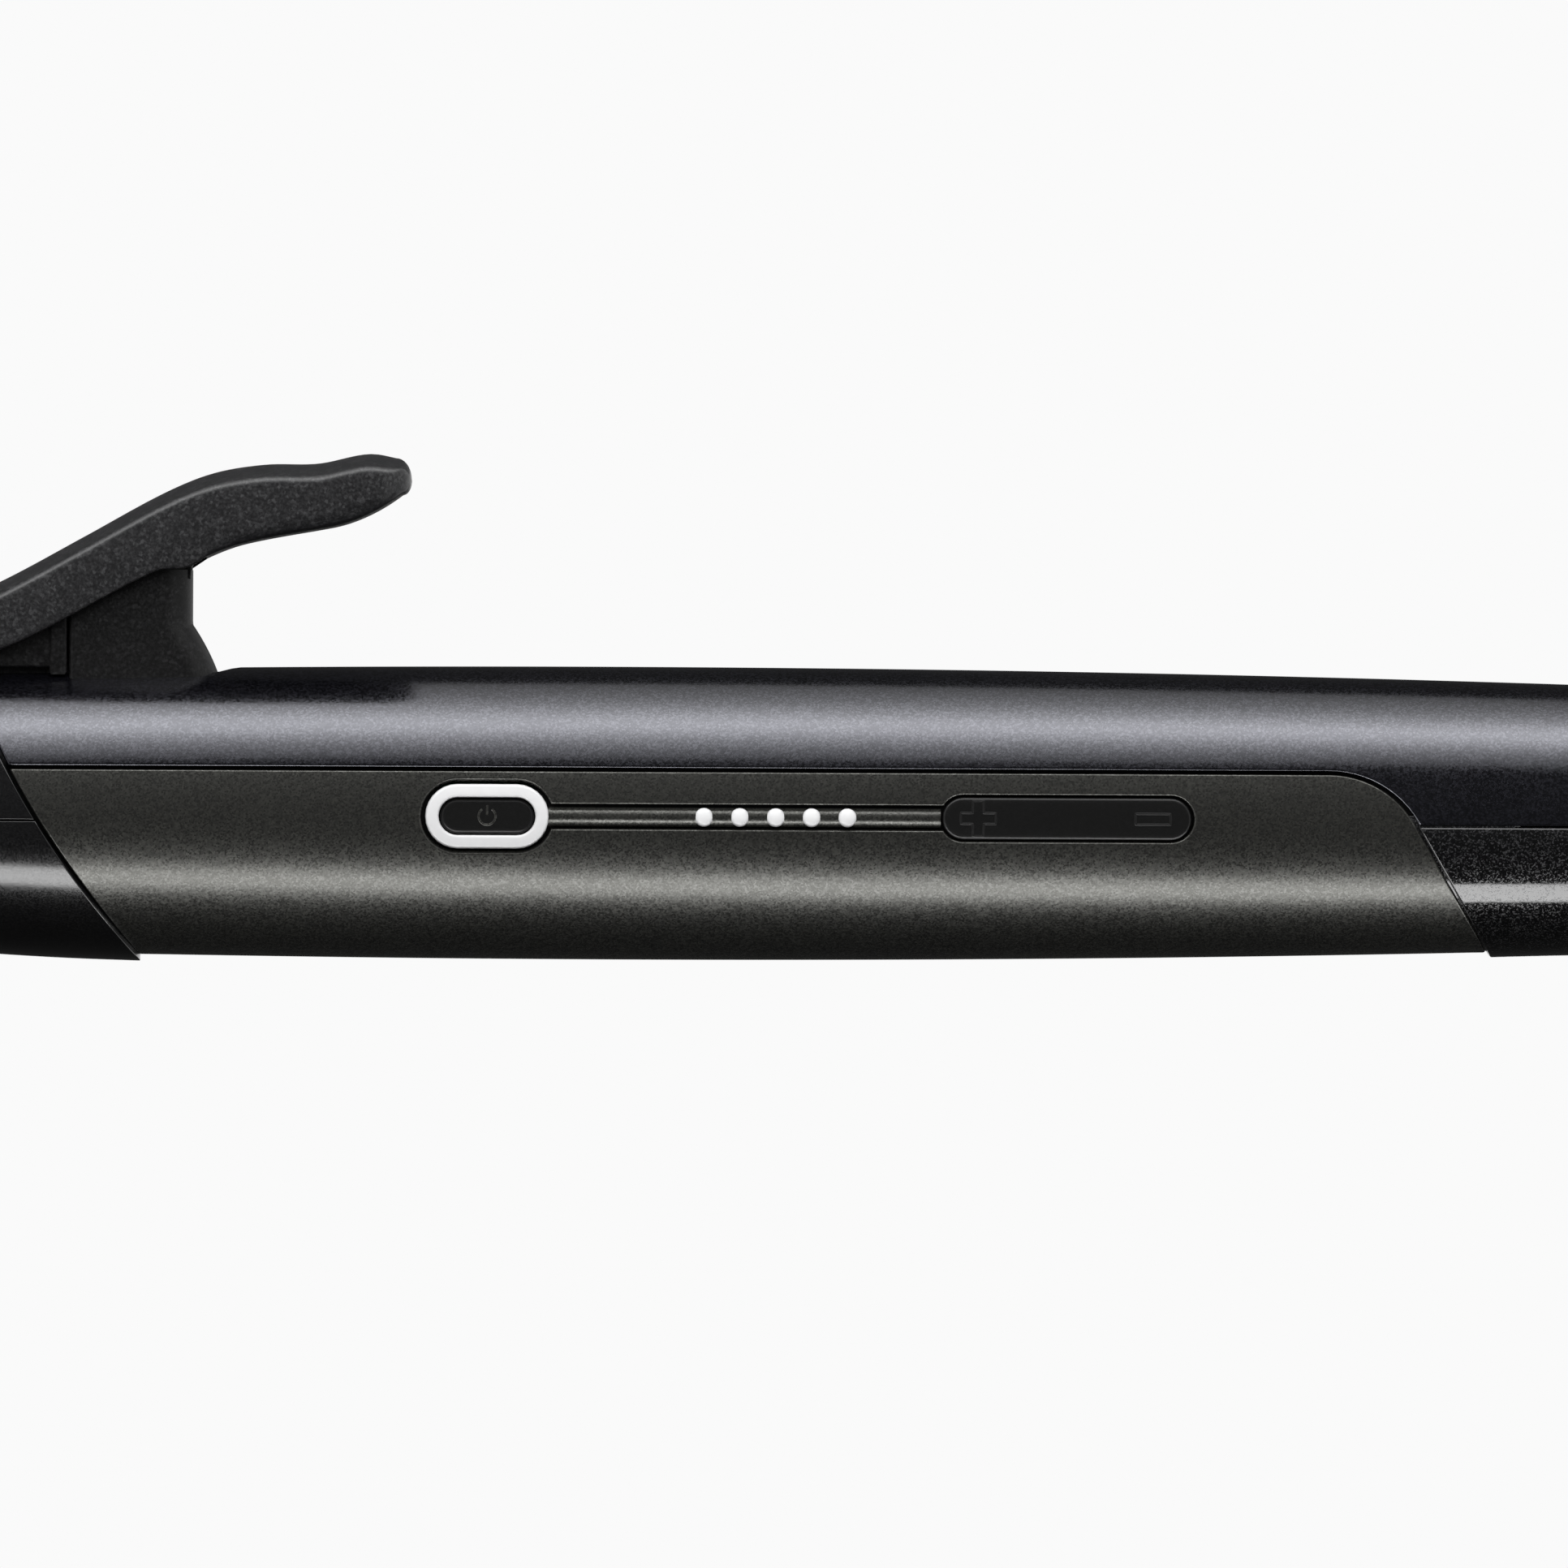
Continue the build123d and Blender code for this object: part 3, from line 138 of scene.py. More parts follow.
# Lever, with its crown line and its lower edge in the side view
pivot_x = 39.2
pivot_z = 31.3
clamp_swing = radians(16)
lever_root_x = -16.0
lever_root_half = 5.5
lever_half = 8.25
lever_waist_x = 4.0
lever_neck_x = 15.5
lever_shoulder_x = 20.5
lever_nose_x = 64.2
lever_nose = 2.0
lever_tip_x = 65.95
lever_tip_z = 37.3
lever_tip_round = 4.0
lever_crown = 1.6
lever_upper_edge = 1.1
lever_upper_sink = 0.8
lever_root_edge = 0.45
lever_thumb_edge = 1.9
lever_clear = 0.6
lever_spoon_clear = 0.05
lever_least = 0.3
lever_least_room = 0.02
lever_least_root = 0.1
lever_roof_left = 27.6
lever_roof_x = 38.2
lever_roof_z = 34.0
lever_room_right = 42.2
lever_crown_line = (
    (-16.0, 15.8),
    (4.0, 18.0),
    (20.5, 25.9),
    (29.4, 30.75),
    (38.2, 35.6),
    (43.7, 37.85),
    (49.5, 38.85),
    (55.5, 39.0),
    (61.2, 40.1),
    (65.0, 39.5),
)
lever_under_line = (
    (-16.0, 13.2),
    (4.0, 14.2),
    (20.0, 17.9),
    (37.4, 26.7),
    (41.1, 27.2),
    (43.2, 28.5),
    (47.3, 30.0),
    (57.0, 31.85),
)
lever_under_bend_x = 57.0
lever_under_rise = 0.19
lever_under_bow = 0.035
lever_low_x = 65.0

# Braces under the lever and the hinge post
bevel = 0.1
rib_face = 27.5
rib_depth = 1.9
rib_bevel = 0.2
rib_top = 23.0
rib_foot = ((1.5, 16.75), (3.4, 16.6), (6.0, 15.2))
rib_web = 0.6
rib_web_half = 1.6
gusset_x = 10.0
gusset_overlap = 0.5
gusset_low = 16.05
gusset_rise = ((27.0, 22.8), (20.0, 19.8), (10.0, 16.6))
cheek_inner = 4.0
cheek_outer = 5.6
cheek_bevel = 0.15
web_lift = 0.65
web_half = 4.1
post_left = 27.8
post_right = 41.5
post_half = 6.0
post_round = 3.5
post_front_round = 0.5
post_flare = 2.85
post_flare_bow = 0.3
post_sink = 1.0
post_kink_z = 20.95
post_left_top = 23.2
post_top = 27.0
ear_radius = 2.6
ear_inner = 2.5
ear_outer = 4.2
ear_sink = 1.0
ear_heel = 0.5
straddle = 6.3
buried_z = 15.0
tongue_start = 17.0
tongue_stop = 28.5
tongue_top = 16.4
tongue_half = 3.3
blade_start = 26.5
blade_stop = 29.0
blade_top = 22.5
blade_half = 1.2

# Spoon, rivets, barrel, cool tip and cord inlet, whose profiles are by distance and radius
spoon_outer = 13.6
spoon_sheet = 0.8
spoon_half_arc = radians(55)
spoon_start = -126.0
spoon_end = -1.5
spoon_tip_half = 7.0
spoon_taper_x = -40.0
rivet_xs = (-5.5, -12.0)
rivet_z = 14.8
rivet_seat = 2.6
rivet_head_radius = 2.4
rivet_rise = 0.8
barrel_length = 130.0
barrel_radius = 12.5
barrel_wall = 1.2
barrel_bevel = 0.2
barrel_seat = 3.0
on_axis = 0.01
tip_length = 20.0
tip_end = -150.0
tip_radius = 12.9
tip_bend = 4.3
tip_bevel = 0.3
tip_plug = 8.0
tip_plug_radius = 11.2
tip_groove_count = 4
tip_groove_width = 1.2
tip_groove_depth = 0.5
tip_groove_flare = 0.15
tip_groove_slope = 0.1
inlet_length = 9.0
inlet_sink = 3.0
inlet_radius = 7.0
inlet_rim = ((0.3, 7.0), (0.3, 7.5), (0.6, 7.8), (1.5, 7.8), (2.0, 7.5))
inlet_mouth = ((-0.6, 5.8), (-0.15, 5.45), (0, 5.0), (0, 3.9), (-0.3, 3.6), (-9.0, 3.6), (-9.0, 0.01))

# Stand
stand_x = 9.0
stand_lean = radians(20)
stand_leg = 32.0
stand_half = 17.4
stand_wire = 1.2
stand_bend = 2.0
stand_sleeve = 1.9
sleeve_half = 12.4
sleeve_bevel = 0.3
stop_reach = 5.5
stop_radius = 1.4
stop_room = 0.1
stop_profile = ((13.2, 1.4), (17.7, 1.4), (17.9, 1.3), (18.0, 1.0))

# How closely the pieces are meshed
loop_step = 0.9
turn_step = 0.05
arc_step = 0.12
mesh_size = 2.0
hidden_mesh = 3.0
trough_mesh = 4.0
edge_steps = 4
edge_turn = pi / 10
section_steps = 6
crown_steps = 8
shell_edge = 0.3
panel_edge = 0.25
collar_edge = 0.12
hidden_edge = 0.05
trough_edge = 0.1
spoon_mesh = 2.5
spoon_edge = 0.2
row_step = 2.0
tail_row_step = 0.6
neck_row_step = 0.2
mark_step = 0.2
sign_step = 0.25
post_step = 0.5
post_cap = 0.2
lever_step = 0.8
root_turn = 0.05
nose_turn = 1.55
nose_step = 0.08
mark_turn = radians(12)
stadium_turn = pi / 14
post_turn = pi / 16
ear_turn = pi / 12
spoon_turn = 0.1
spoon_step = 1.0
barrel_sides = 96
seat_sides = 48
wire_sides = 32
bead_sides = 12
crease = 32
post_crease = 25
spring_crease = 40
least_miter = 0.4
grid_room = 0.6
joint_rounds = 6
same_point = 1e-7
same_corner = 1e-6

# Place of the handle's axis, from the cord inlet's joint at the tail
swivel = next(joint for joint in frame["joints"] if joint["name"] == "cord_swivel")
along = Vector(swivel["axis"])
across = Vector((0, 1, 0))
upward = along.cross(across)
neck_front = Vector(swivel["pos_m"]) - handle_length * mm * along
tilt = atan2(-along.z, along.x)


def direction(x, y, z):
    """Direction given along the handle, across it and up, in the model's frame."""
    return x * along + y * across + z * upward


def place(x, y, z):
    """Point given in millimetres from the neck's front, in the model's frame."""
    return neck_front + direction(x, y, z) * mm


def new_object(name, data):
    """Object of the scene, at the origin."""
    piece = bpy.data.objects.new(name, data)
    bpy.context.scene.collection.objects.link(piece)
    return piece


# Numbers and flat outlines
def span(start, stop, step):
    """Even steps from one value to another, with both ends."""
    count = max(1, round(abs(stop - start) / step))
    return [start + (stop - start) * i / count for i in range(count + 1)]


def circle(sides):
    """Cosine and sine of even turns round a circle."""
    return [(cos(2 * pi * i / sides), sin(2 * pi * i / sides)) for i in range(sides)]


def arc(x, z, radius, start, stop, step=arc_step):
    """Points of an arc about a centre."""
    return [Vector((x + radius * cos(bend), z + radius * sin(bend))) for bend in span(start, stop, step)]


def box_line(start_x, stop_x, low, high):
    """Corners of a rectangle."""
    return [Vector(corner) for corner in ((start_x, low), (stop_x, low), (stop_x, high), (start_x, high))]


def ease(share):
    """Share from nought to one, with soft ends."""
    share = max(0, min(1, share))
    return share * share * (3 - 2 * share)


def round_off(share):
    """Height of a quarter circle from one at nought to nought at one."""
    return sqrt(max(0, 1 - share * share))


def offset_loop(loop, amount):
    """Loop moved to the right of its direction of travel."""
    moved = []
    for i, point in enumerate(loop):
        before = (point - loop[i - 1]).normalized()
        after = (loop[(i + 1) % len(loop)] - point).normalized()
        side = Vector((before.y + after.y, -before.x - after.x)).normalized()
        share = max(least_miter, side.dot(Vector((after.y, -after.x))))
        moved.append(point + side * amount / share)
    return moved


def resample(points, step):
    """Closed loop with points no further apart than a step."""
    dense = []
    for i, point in enumerate(points):
        following = points[(i + 1) % len(points)]
        count = max(1, round((following - point).length / step))
        dense.extend(point.lerp(following, k / count) for k in range(count))
    return dense


def signed_area(loop):
    """Area within a loop, below nought where it runs clockwise."""
    return sum(a.x * b.y - a.y * b.x for a, b in zip(loop, loop[1:] + loop[:1])) / 2


def inside(point, loops):
    """Whether a flat point lies within an odd number of loops."""
    within = False
    for loop in loops:
        for a, b in zip(loop, loop[1:] + loop[:1]):
            if (a.y > point.y) != (b.y > point.y):
                if point.x < a.x + (point.y - a.y) / (b.y - a.y) * (b.x - a.x):
                    within = not within
    return within


# Outlines of the handle and the neck: place, radius and the two parts of the normal by distance along them
bend_x = handle_length - tail_round


def handle_radius(x):
    """Handle's radius, largest at its belly."""
    from_belly = (x - belly_x) / (handle_length - belly_x)
    return belly_radius - (belly_radius - tail_radius) * from_belly**2


def collar_radius(x):
    """Curve through the neck's front, middle and end radius."""
    rise = (collar_mid_radius - neck_radius) / collar_mid_x
    end_rise = collar_end_radius - neck_radius - rise * collar_end_x
    bow = end_rise / (collar_end_x * (collar_end_x - collar_mid_x))
    return neck_radius + rise * x + bow * x * (x - collar_mid_x)


def slant(z):
    """Slanted joint between the neck and the handle, by height."""
    return slant_mid_x + slant_lean * z + slant_bow * z * z


def sloped(x, radius, slope):
    """Outline's values where it has a slope."""
    size = hypot(1, slope)
    return x, radius, -slope / size, 1 / size


def handle_line(grow):
    """Handle outline, over the rounded tail and down its end face."""
    bend_radius = handle_radius(bend_x) + grow - tail_round

    def line(u):
        if u <= bend_x:
            slope = -2 * (belly_radius - tail_radius) * (u - belly_x) / (handle_length - belly_x) ** 2
            return sloped(u, handle_radius(u) + grow, slope)
        bend = (u - bend_x) / tail_round
        if bend <= pi / 2:
            forward = sin(bend)
            outward = cos(bend)
            return bend_x + tail_round * forward, bend_radius + tail_round * outward, forward, outward
        return handle_length, bend_radius - tail_round * (bend - pi / 2), 1, 0

    return line


def tail_end(grow):
    """Distance along the handle outline at which it meets the cord inlet's hole."""
    return bend_x + tail_round * pi / 2 + handle_radius(bend_x) + grow - tail_round - swivel_hole


collar_face = collar_radius(neck_edge) - neck_edge - neck_bore
collar_bend = neck_edge * pi / 2


def collar_line(u):
    """Neck outline, up the front face and round its edge."""
    if u <= collar_face:
        return 0, neck_bore + u, -1, 0
    bend = (u - collar_face) / neck_edge
    if bend <= pi / 2:
        centre = collar_radius(neck_edge) - neck_edge
        return neck_edge - neck_edge * cos(bend), centre + neck_edge * sin(bend), -cos(bend), sin(bend)
    x = neck_edge + u - collar_face - collar_bend
    near = 0.1
    return sloped(x, collar_radius(x), (collar_radius(x + near) - collar_radius(x - near)) / (2 * near))


def collar_distance(x):
    """Distance along the neck outline, by place."""
    return x - neck_edge + collar_face + collar_bend


# Moulded walls, cut from a turned outline: distance along it is drawn against the angle round it
angle_scale = 16.0


class Wall:
    """Faces of one piece, whose corners are points with their own normals."""

    def __init__(self):
        self.points = []
        self.faces = []
        self.normals = []

    def corner(self, position, normal):
        self.points.append(position)
        return len(self.points) - 1, normal

    def face(self, corners):
        self.faces.append([point for point, _ in corners])
        self.normals.extend(normal for _, normal in corners)

    def piece(self, name):
        """Blender object of the faces, in the model's frame."""
        mesh = bpy.data.meshes.new(name)
        mesh.from_pydata([place(*point) for point in self.points], [], self.faces)
        mesh.shade_smooth()
        mesh.normals_split_custom_set([direction(*normal).normalized() for normal in self.normals])
        return new_object(name, mesh)


def surface_point(line, flat, depth, press=None, side=None):
    """Model point and normal under a flat point of a wall, at a depth, tipped towards a side."""
    x, radius, forward, outward = line(flat.x)
    angle = flat.y / angle_scale
    radial = Vector((0, -cos(angle), sin(angle)))
    normal = Vector((forward, 0, 0)) + outward * radial
    position = Vector((x, 0, 0)) + radius * radial - depth * normal
    if press:
        position, normal = press(position, normal, depth)
    if side:
        ahead = Vector((outward, 0, 0)) - forward * radial
        around = Vector((0, sin(angle), cos(angle)))
        lean, tip = side
        normal = normal * cos(tip) + (ahead * lean.x + around * lean.y) * sin(tip)
    return position, normal


def fill_points(loops, spacing, edge, rows):
    """Points of the loops and, clear of those, a staggered grid that is closer along rows."""
    points = [point for loop in loops for point in loop]
    tree = KDTree(len(points))
    for i, point in enumerate(points):
        tree.insert((point.x, point.y, 0), i)
    tree.balance()
    low_u = min(point.x for point in loops[0])
    high_u = max(point.x for point in loops[0])
    low_s = min(point.y for point in loops[0])
    high_s = max(point.y for point in loops[0])
    wanted = [(Vector((u, s)), edge) for u in rows for s in span(low_s, high_s, loop_step)]
    for i in range(int((high_u - low_u) / spacing)):
        for j in range(int((high_s - low_s) / spacing)):
            point = Vector((low_u + (i + 0.5 + 0.5 * (j % 2)) * spacing, low_s + (j + 0.5) * spacing))
            if not rows or not min(rows) - loop_step < point.x < max(rows) + loop_step:
                wanted.append((point, grid_room * spacing))
    for point, room in wanted:
        if tree.find((point.x, point.y, 0))[2] > room and inside(point, loops):
            points.append(point)
    return points


def rim(wall, line, loop, outline, tops, unders, edge, depth, press):
    """Rounded edge and side of a wall between a loop and its outline, down to the underside."""
    sides = [(far - near).normalized() for near, far in zip(loop, outline)]
    levels = [(sin(tip), edge * (1 - cos(tip)), tip) for tip in span(0, pi / 2, pi / 2 / edge_steps)[1:]]
    levels.append((1, depth, pi / 2))
    rings = [tops]
    for share, sunk, tip in levels:
        ring = []
        for near, far, side in zip(loop, outline, sides):
            found = surface_point(line, near.lerp(far, share), sunk, press, (side, tip))
            ring.append(wall.corner(*found))
        rings.append(ring)
    for near, far in zip(rings, rings[1:]):
        for i in range(len(loop)):
            wall.face((near[i], near[i - 1], far[i - 1], far[i]))
    foot = rings[-1]
    for i in range(len(loop)):
        down = unders[i - 1][1]
        wall.face([(point, down) for point, _ in (foot[i], foot[i - 1], unders[i - 1], unders[i])])


def skin(wall, line, loops, spacing, edge, depth, press=None, rows=()):
    """Closed wall over a turned outline: the first loop bounds it and others are holes in it."""
    outlines = []
    for i, loop in enumerate(loops):
        wanted = 1 if i == 0 else -1
        outlines.append(loop if signed_area(loop) * wanted > 0 else loop[::-1])
    inner = [offset_loop(outline, -edge) for outline in outlines]
    edges = []
    starts = []
    first = 0
    for loop in inner:
        starts.append(first)
        edges.extend((first + i, first + (i + 1) % len(loop)) for i in range(len(loop)))
        first += len(loop)
    points = fill_points(inner, spacing, edge, rows)
    flat, _, triangles, sources, _, _ = delaunay_2d_cdt(points, edges, [], 0, same_point)
    found = {source: i for i, group in enumerate(sources) for source in group}
    tops = [wall.corner(*surface_point(line, point, 0, press)) for point in flat]
    unders = []
    for point in flat:
        position, normal = surface_point(line, point, depth, press)
        unders.append(wall.corner(position, -normal))
    for triangle in triangles:
        if inside(sum((flat[i] for i in triangle), Vector((0, 0))) / 3, inner):
            wall.face([tops[i] for i in triangle])
            wall.face([unders[i] for i in triangle[::-1]])
    for start, loop, outline in zip(starts, inner, outlines):
        ids = [found[start + i] for i in range(len(loop))]
        loop_tops = [tops[i] for i in ids]
        loop_unders = [unders[i] for i in ids]
        rim(wall, line, loop, outline, loop_tops, loop_unders, edge, depth, press)


def dress(piece, body, slot, *nodes, look=None):
    """Give a finished piece the finish of its slot or of a given look, attach it to its body and hide the nodes it
    stands for.
    """
    piece.data.materials.clear()
    piece.data.materials.append(finish[look or slot])
    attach(piece, body)
    if nodes:
        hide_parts(*nodes)


# Loops of the handle's walls, from its side view
def at(u, angle):
    """Wall point at a distance along an outline and an angle round it."""
    return Vector((u, angle * angle_scale))


def on_front(point):
    """Wall point on the control side, by place and height in the side view."""
    return at(point.x, asin(max(-1, min(1, point.y / handle_radius(point.x)))))


def behind(point, over):
    """Wall point mirrored to the back, going over the top or under the bottom."""
    return Vector((point.x, (pi if over else -pi) * angle_scale - point.y))


def parting(line, z, start, stop):
    """Parting line at a height from one distance along the outline to another."""
    return [at(u, asin(z / line(u)[1])) for u in span(start, stop, loop_step)[1:]]


def joint_x(radius_at, angle, shift=0.0):
    """Place of the slanted joint at an angle, on an outline."""
    x = slant_mid_x
    for _ in range(joint_rounds):
        x = slant(radius_at(x) * sin(angle)) + shift
    return x


def panel_corner(grow):
    """Panel's rounded top corner in the side view, grown outwards."""
    x = panel_corner_x - panel_corner_round / tan((pi - panel_end_angle) / 2)
    z = panel_top - panel_corner_round
    low = pi / 2 - panel_end_angle
    return arc(x, z, panel_corner_round + grow, pi / 2, low, panel_end_angle / 12)


def panel_seam(grow):
    """Panel's top seam and corner in the side view, grown outwards."""
    z = panel_top + grow
    corner = panel_corner(grow)
    xs = span(slant(z) + collar_gap, corner[0].x, loop_step)
    return [Vector((x, z)) for x in xs] + corner[1:]


def end_slant(grow, z):
    """Panel's slanted end below its corner, by height."""
    corner = panel_corner(grow)[-1]
    return corner.x + (corner.y - z) / tan(panel_end_angle)


def closed_at_joint(loop):
    """Loop closed along the slanted joint, from its last point to its first."""
    turns = span(loop[-1].y / angle_scale, loop[0].y / angle_scale, turn_step)[1:-1]
    return loop + [at(joint_x(handle_radius, angle, collar_gap), angle) for angle in turns]


def round_tail(front, over):
    """Edge on the front, the turn round the tail's end and the same edge behind."""
    end = front[-1]
    sweep = span(end.y, behind(end, over).y, turn_step * angle_scale)[1:-1]
    return front + [Vector((end.x, s)) for s in sweep] + [behind(point, over) for point in front[::-1]]


def panel_loop():
    """Grip panel: along its top seam, down its slanted end, and the same behind."""
    front = [on_front(point) for point in panel_seam(0)]
    for angle in span(front[-1].y / angle_scale, -pi / 2, turn_step)[1:]:
        front.append(at(end_slant(0, handle_radius(front[-1].x) * sin(angle)), angle))
    return closed_at_joint(front + [behind(point, False) for point in front[-2::-1]])


def control_opening():
    """One opening for the power ring, the lamp groove and the rocker."""
    ring_radius = ring_height / 2 + ring_gap
    ring_reach = (ring_length - ring_height) / 2
    rocker_radius = rocker_height / 2
    rocker_reach = (rocker_length - rocker_height) / 2
    ring_open = asin(groove_height / 2 / ring_radius)
    rocker_open = asin(groove_height / 2 / rocker_radius)
    points = arc(power_x + ring_reach, 0, ring_radius, ring_open, pi / 2)
    points += arc(power_x - ring_reach, 0, ring_radius, pi / 2, 1.5 * pi)
    points += arc(power_x + ring_reach, 0, ring_radius, -pi / 2, -ring_open)
    points += arc(rocker_x - rocker_reach, 0, rocker_radius, pi + rocker_open, 1.5 * pi)
    points += arc(rocker_x + rocker_reach, 0, rocker_radius, -pi / 2, pi / 2)
    points += arc(rocker_x - rocker_reach, 0, rocker_radius, pi / 2, pi - rocker_open)
    return [on_front(Vector((point.x, control_z + point.y))) for point in resample(points, loop_step)]


def plate_loop(start_x, stop_x, low_z, high_z):
    """Rectangle seen from the side."""
    return [on_front(point) for point in resample(box_line(start_x, stop_x, low_z, high_z), loop_step)]


def patch_loop(start_x, stop_x, low, high, step):
    """Wall between two places and two angles."""
    xs = span(start_x, stop_x, step)
    turns = span(low, high, turn_step)
    loop = [at(start_x, angle) for angle in turns] + [at(x, high) for x in xs[1:]]
    loop += [at(stop_x, angle) for angle in turns[-2::-1]]
    return loop + [at(x, low) for x in xs[-2:0:-1]]


def upper_loop():
    """Upper shell: along the panel, round its corner and along the parting line."""
    low = split_z + split_gap / 2
    seam = panel_seam(seam_gap) + [Vector((end_slant(seam_gap, low), low))]
    front = [on_front(point) for point in seam]
    front += parting(handle_line(0), low, front[-1].x, tail_end(0))
    return closed_at_joint(round_tail(front, True))


def tail_loop():
    """Underside of the tail, below the parting line and behind the panel."""
    high = split_z - split_gap / 2
    radius = handle_radius(panel_corner_x)
    start = asin(high / (radius + lower_proud))
    left = []
    for angle in span(-pi - start, start, turn_step):
        left.append(at(end_slant(tail_gap, radius * sin(angle)), angle))
    front = parting(handle_line(lower_proud), high, left[-1].x, tail_end(lower_proud))
    return left + round_tail(front, False)


def collar_loop(z, over):
    """Half of the neck, above or below its parting line."""
    far = pi if over else -pi
    start = asin(z / neck_bore)
    stop = asin(z / collar_radius(slant_mid_x))
    face = [at(0, angle) for angle in span(far - start, start, turn_step)]
    edge = parting(collar_line, z, 0, collar_distance(slant(z)))
    joint = []
    for angle in span(stop, far - stop, turn_step)[1:]:
        joint.append(at(collar_distance(joint_x(collar_radius, angle)), angle))
    return face + edge + joint + [behind(point, over) for point in edge[-2::-1]]


def press_seat(position, normal, depth):
    """Flat on top of the upper shell under the hinge post, with a short ramp behind it."""
    over = max(0, position.x - seat_end_x)
    flat = seat_z + over / seat_ramp - depth
    if position.x < seat_end_x + seat_ramp and position.z > flat:
        position.z = flat
        normal = Vector((-1 / seat_ramp if over else 0, 0, 1)).normalized()
    return position, normal


# Shader building: sums on sockets, and one way to add any other node
class Signal:
    """Node socket that takes part in sums."""

    def __init__(self, nodes, socket):
        self.nodes = nodes
        self.socket = socket

    def join(self, operation, left, right):
        return self.nodes.add("ShaderNodeMath", {"operation": operation}, {0: left, 1: right})

    def __add__(self, other):
        return self.join("ADD", self, other)

    __radd__ = __add__

    def __mul__(self, other):
        return self.join("MULTIPLY", self, other)

    __rmul__ = __mul__

    def __sub__(self, other):
        return self.join("SUBTRACT", self, other)

    def __rsub__(self, other):
        return self.join("SUBTRACT", other, self)

    def __rtruediv__(self, other):
        return self.join("DIVIDE", other, self)

    def __abs__(self):
        return self.join("ABSOLUTE", self, 0)


class Nodes:
    """Node tree under construction."""

    def __init__(self, tree):
        self.tree = tree

    def add(self, kind, settings=None, sockets=None, output=0):
        """Node of any kind, with its settings and its socket values or links."""
        node = self.tree.nodes.new(kind)
        for key, value in (settings or {}).items():
            setattr(node, key, value)
        for key, value in (sockets or {}).items():
            self.link(node.inputs[key], value)
        return Signal(self, node.outputs[output])

    def link(self, socket, value):
        if isinstance(value, Signal):
            self.tree.links.new(value.socket, socket)
        else:
            socket.default_value = value

    def band(self, value, low, high):
        """Value brought from a range to nought and one, with soft ends."""
        settings = {"interpolation_type": "SMOOTHSTEP"}
        return self.add("ShaderNodeMapRange", settings, {"Value": value, "From Min": low, "From Max": high})

    def most(self, first, second):
        return self.add("ShaderNodeMath", {"operation": "MAXIMUM"}, {0: first, 1: second})

    def outputs(self, kind, names, sockets=None):
        """Several outputs of one node, by their names."""
        found = self.add(kind, sockets=sockets).socket.node.outputs
        return [Signal(self, found[name]) for name in names]


class Paint(Nodes):
    """Material under construction, with its shader and its Object coordinates."""

    def __init__(self, name):
        self.material = bpy.data.materials.new(name)
        self.material.use_nodes = True
        super().__init__(self.material.node_tree)
        self.shader = self.tree.nodes["Principled BSDF"]
        self.spot = self.add("ShaderNodeTexCoord", output="Object")

    def set(self, **values):
        """Values or links of the shader's own sockets, with spaces written as underscores."""
        for key, value in values.items():
            self.link(self.shader.inputs[key.replace("_", " ")], value)
        return self.material

    def noise(self, size, detail=2.0, rough=0.5, stretch=None):
        """Smooth noise with grains of a size in millimetres."""
        spot = self.spot
        if stretch:
            spot = self.add("ShaderNodeMapping", sockets={"Vector": spot, "Scale": stretch})
        sockets = {"Vector": spot, "Scale": 1 / (size * mm), "Detail": detail, "Roughness": rough}
        return self.add("ShaderNodeTexNoise", sockets=sockets)

    def cells(self, size):
        """Random value in each grain of a size in millimetres."""
        sockets = {"Vector": self.spot, "Scale": 1 / (size * mm)}
        cell = self.add("ShaderNodeTexVoronoi", sockets=sockets, output="Color")
        return self.add("ShaderNodeSeparateColor", sockets={"Color": cell})

    def mix(self, factor, first, second):
        sockets = {0: factor, 6: colour(first), 7: colour(second)}
        return self.add("ShaderNodeMix", {"data_type": "RGBA"}, sockets, 2)

    def bump(self, height, depth):
        """Surface normal from a height between nought and one, a depth in millimetres tall."""
        sockets = {"Height": height, "Distance": depth * mm, "Strength": 1.0}
        return self.add("ShaderNodeBump", sockets=sockets)


def colour(value):
    """Colour with alpha, from three numbers or from one for a grey."""
    return (*value, 1.0) if isinstance(value, tuple) else (value, value, value, 1.0)


def flake_paint(dark, light, rough, flake, sheen, index, glint=0.0, wave=0.003):
    """Satin plastic with fine flakes: colour, gloss and glint vary from flake to flake."""
    paint = Paint("flake_paint")
    flakes = paint.cells(flake)
    cloud = paint.noise(6.0)
    tone = paint.band(flakes, 0.1, 1.0) * 0.75 + cloud * 0.25
    return paint.set(
        Base_Color=paint.mix(tone, dark, light),
        Roughness=rough + 0.12 * (flakes - 0.5) + 0.04 * (cloud - 0.5),
        IOR=index,
        Specular_Tint=colour(sheen),
        Coat_Weight=glint * flakes * flakes,
        Coat_Roughness=rough,
        Coat_Tint=colour(sheen),
        Normal=paint.bump(paint.noise(0.3, 3.0), wave),
    )


def gloss_plastic(base, speck, rough):
    """Polished plastic with fine specks under its surface that scatter the light."""
    paint = Paint("gloss_plastic")
    specks = paint.band(paint.cells(0.15), 0.55, 1.0)
    cloud = paint.noise(8.0)
    return paint.set(
        Base_Color=paint.mix(specks, base, speck),
        Roughness=rough + 0.22 * specks + 0.03 * (cloud - 0.5),
        IOR=1.46,
        Normal=paint.bump(paint.noise(0.6, 3.0), 0.003),
    )


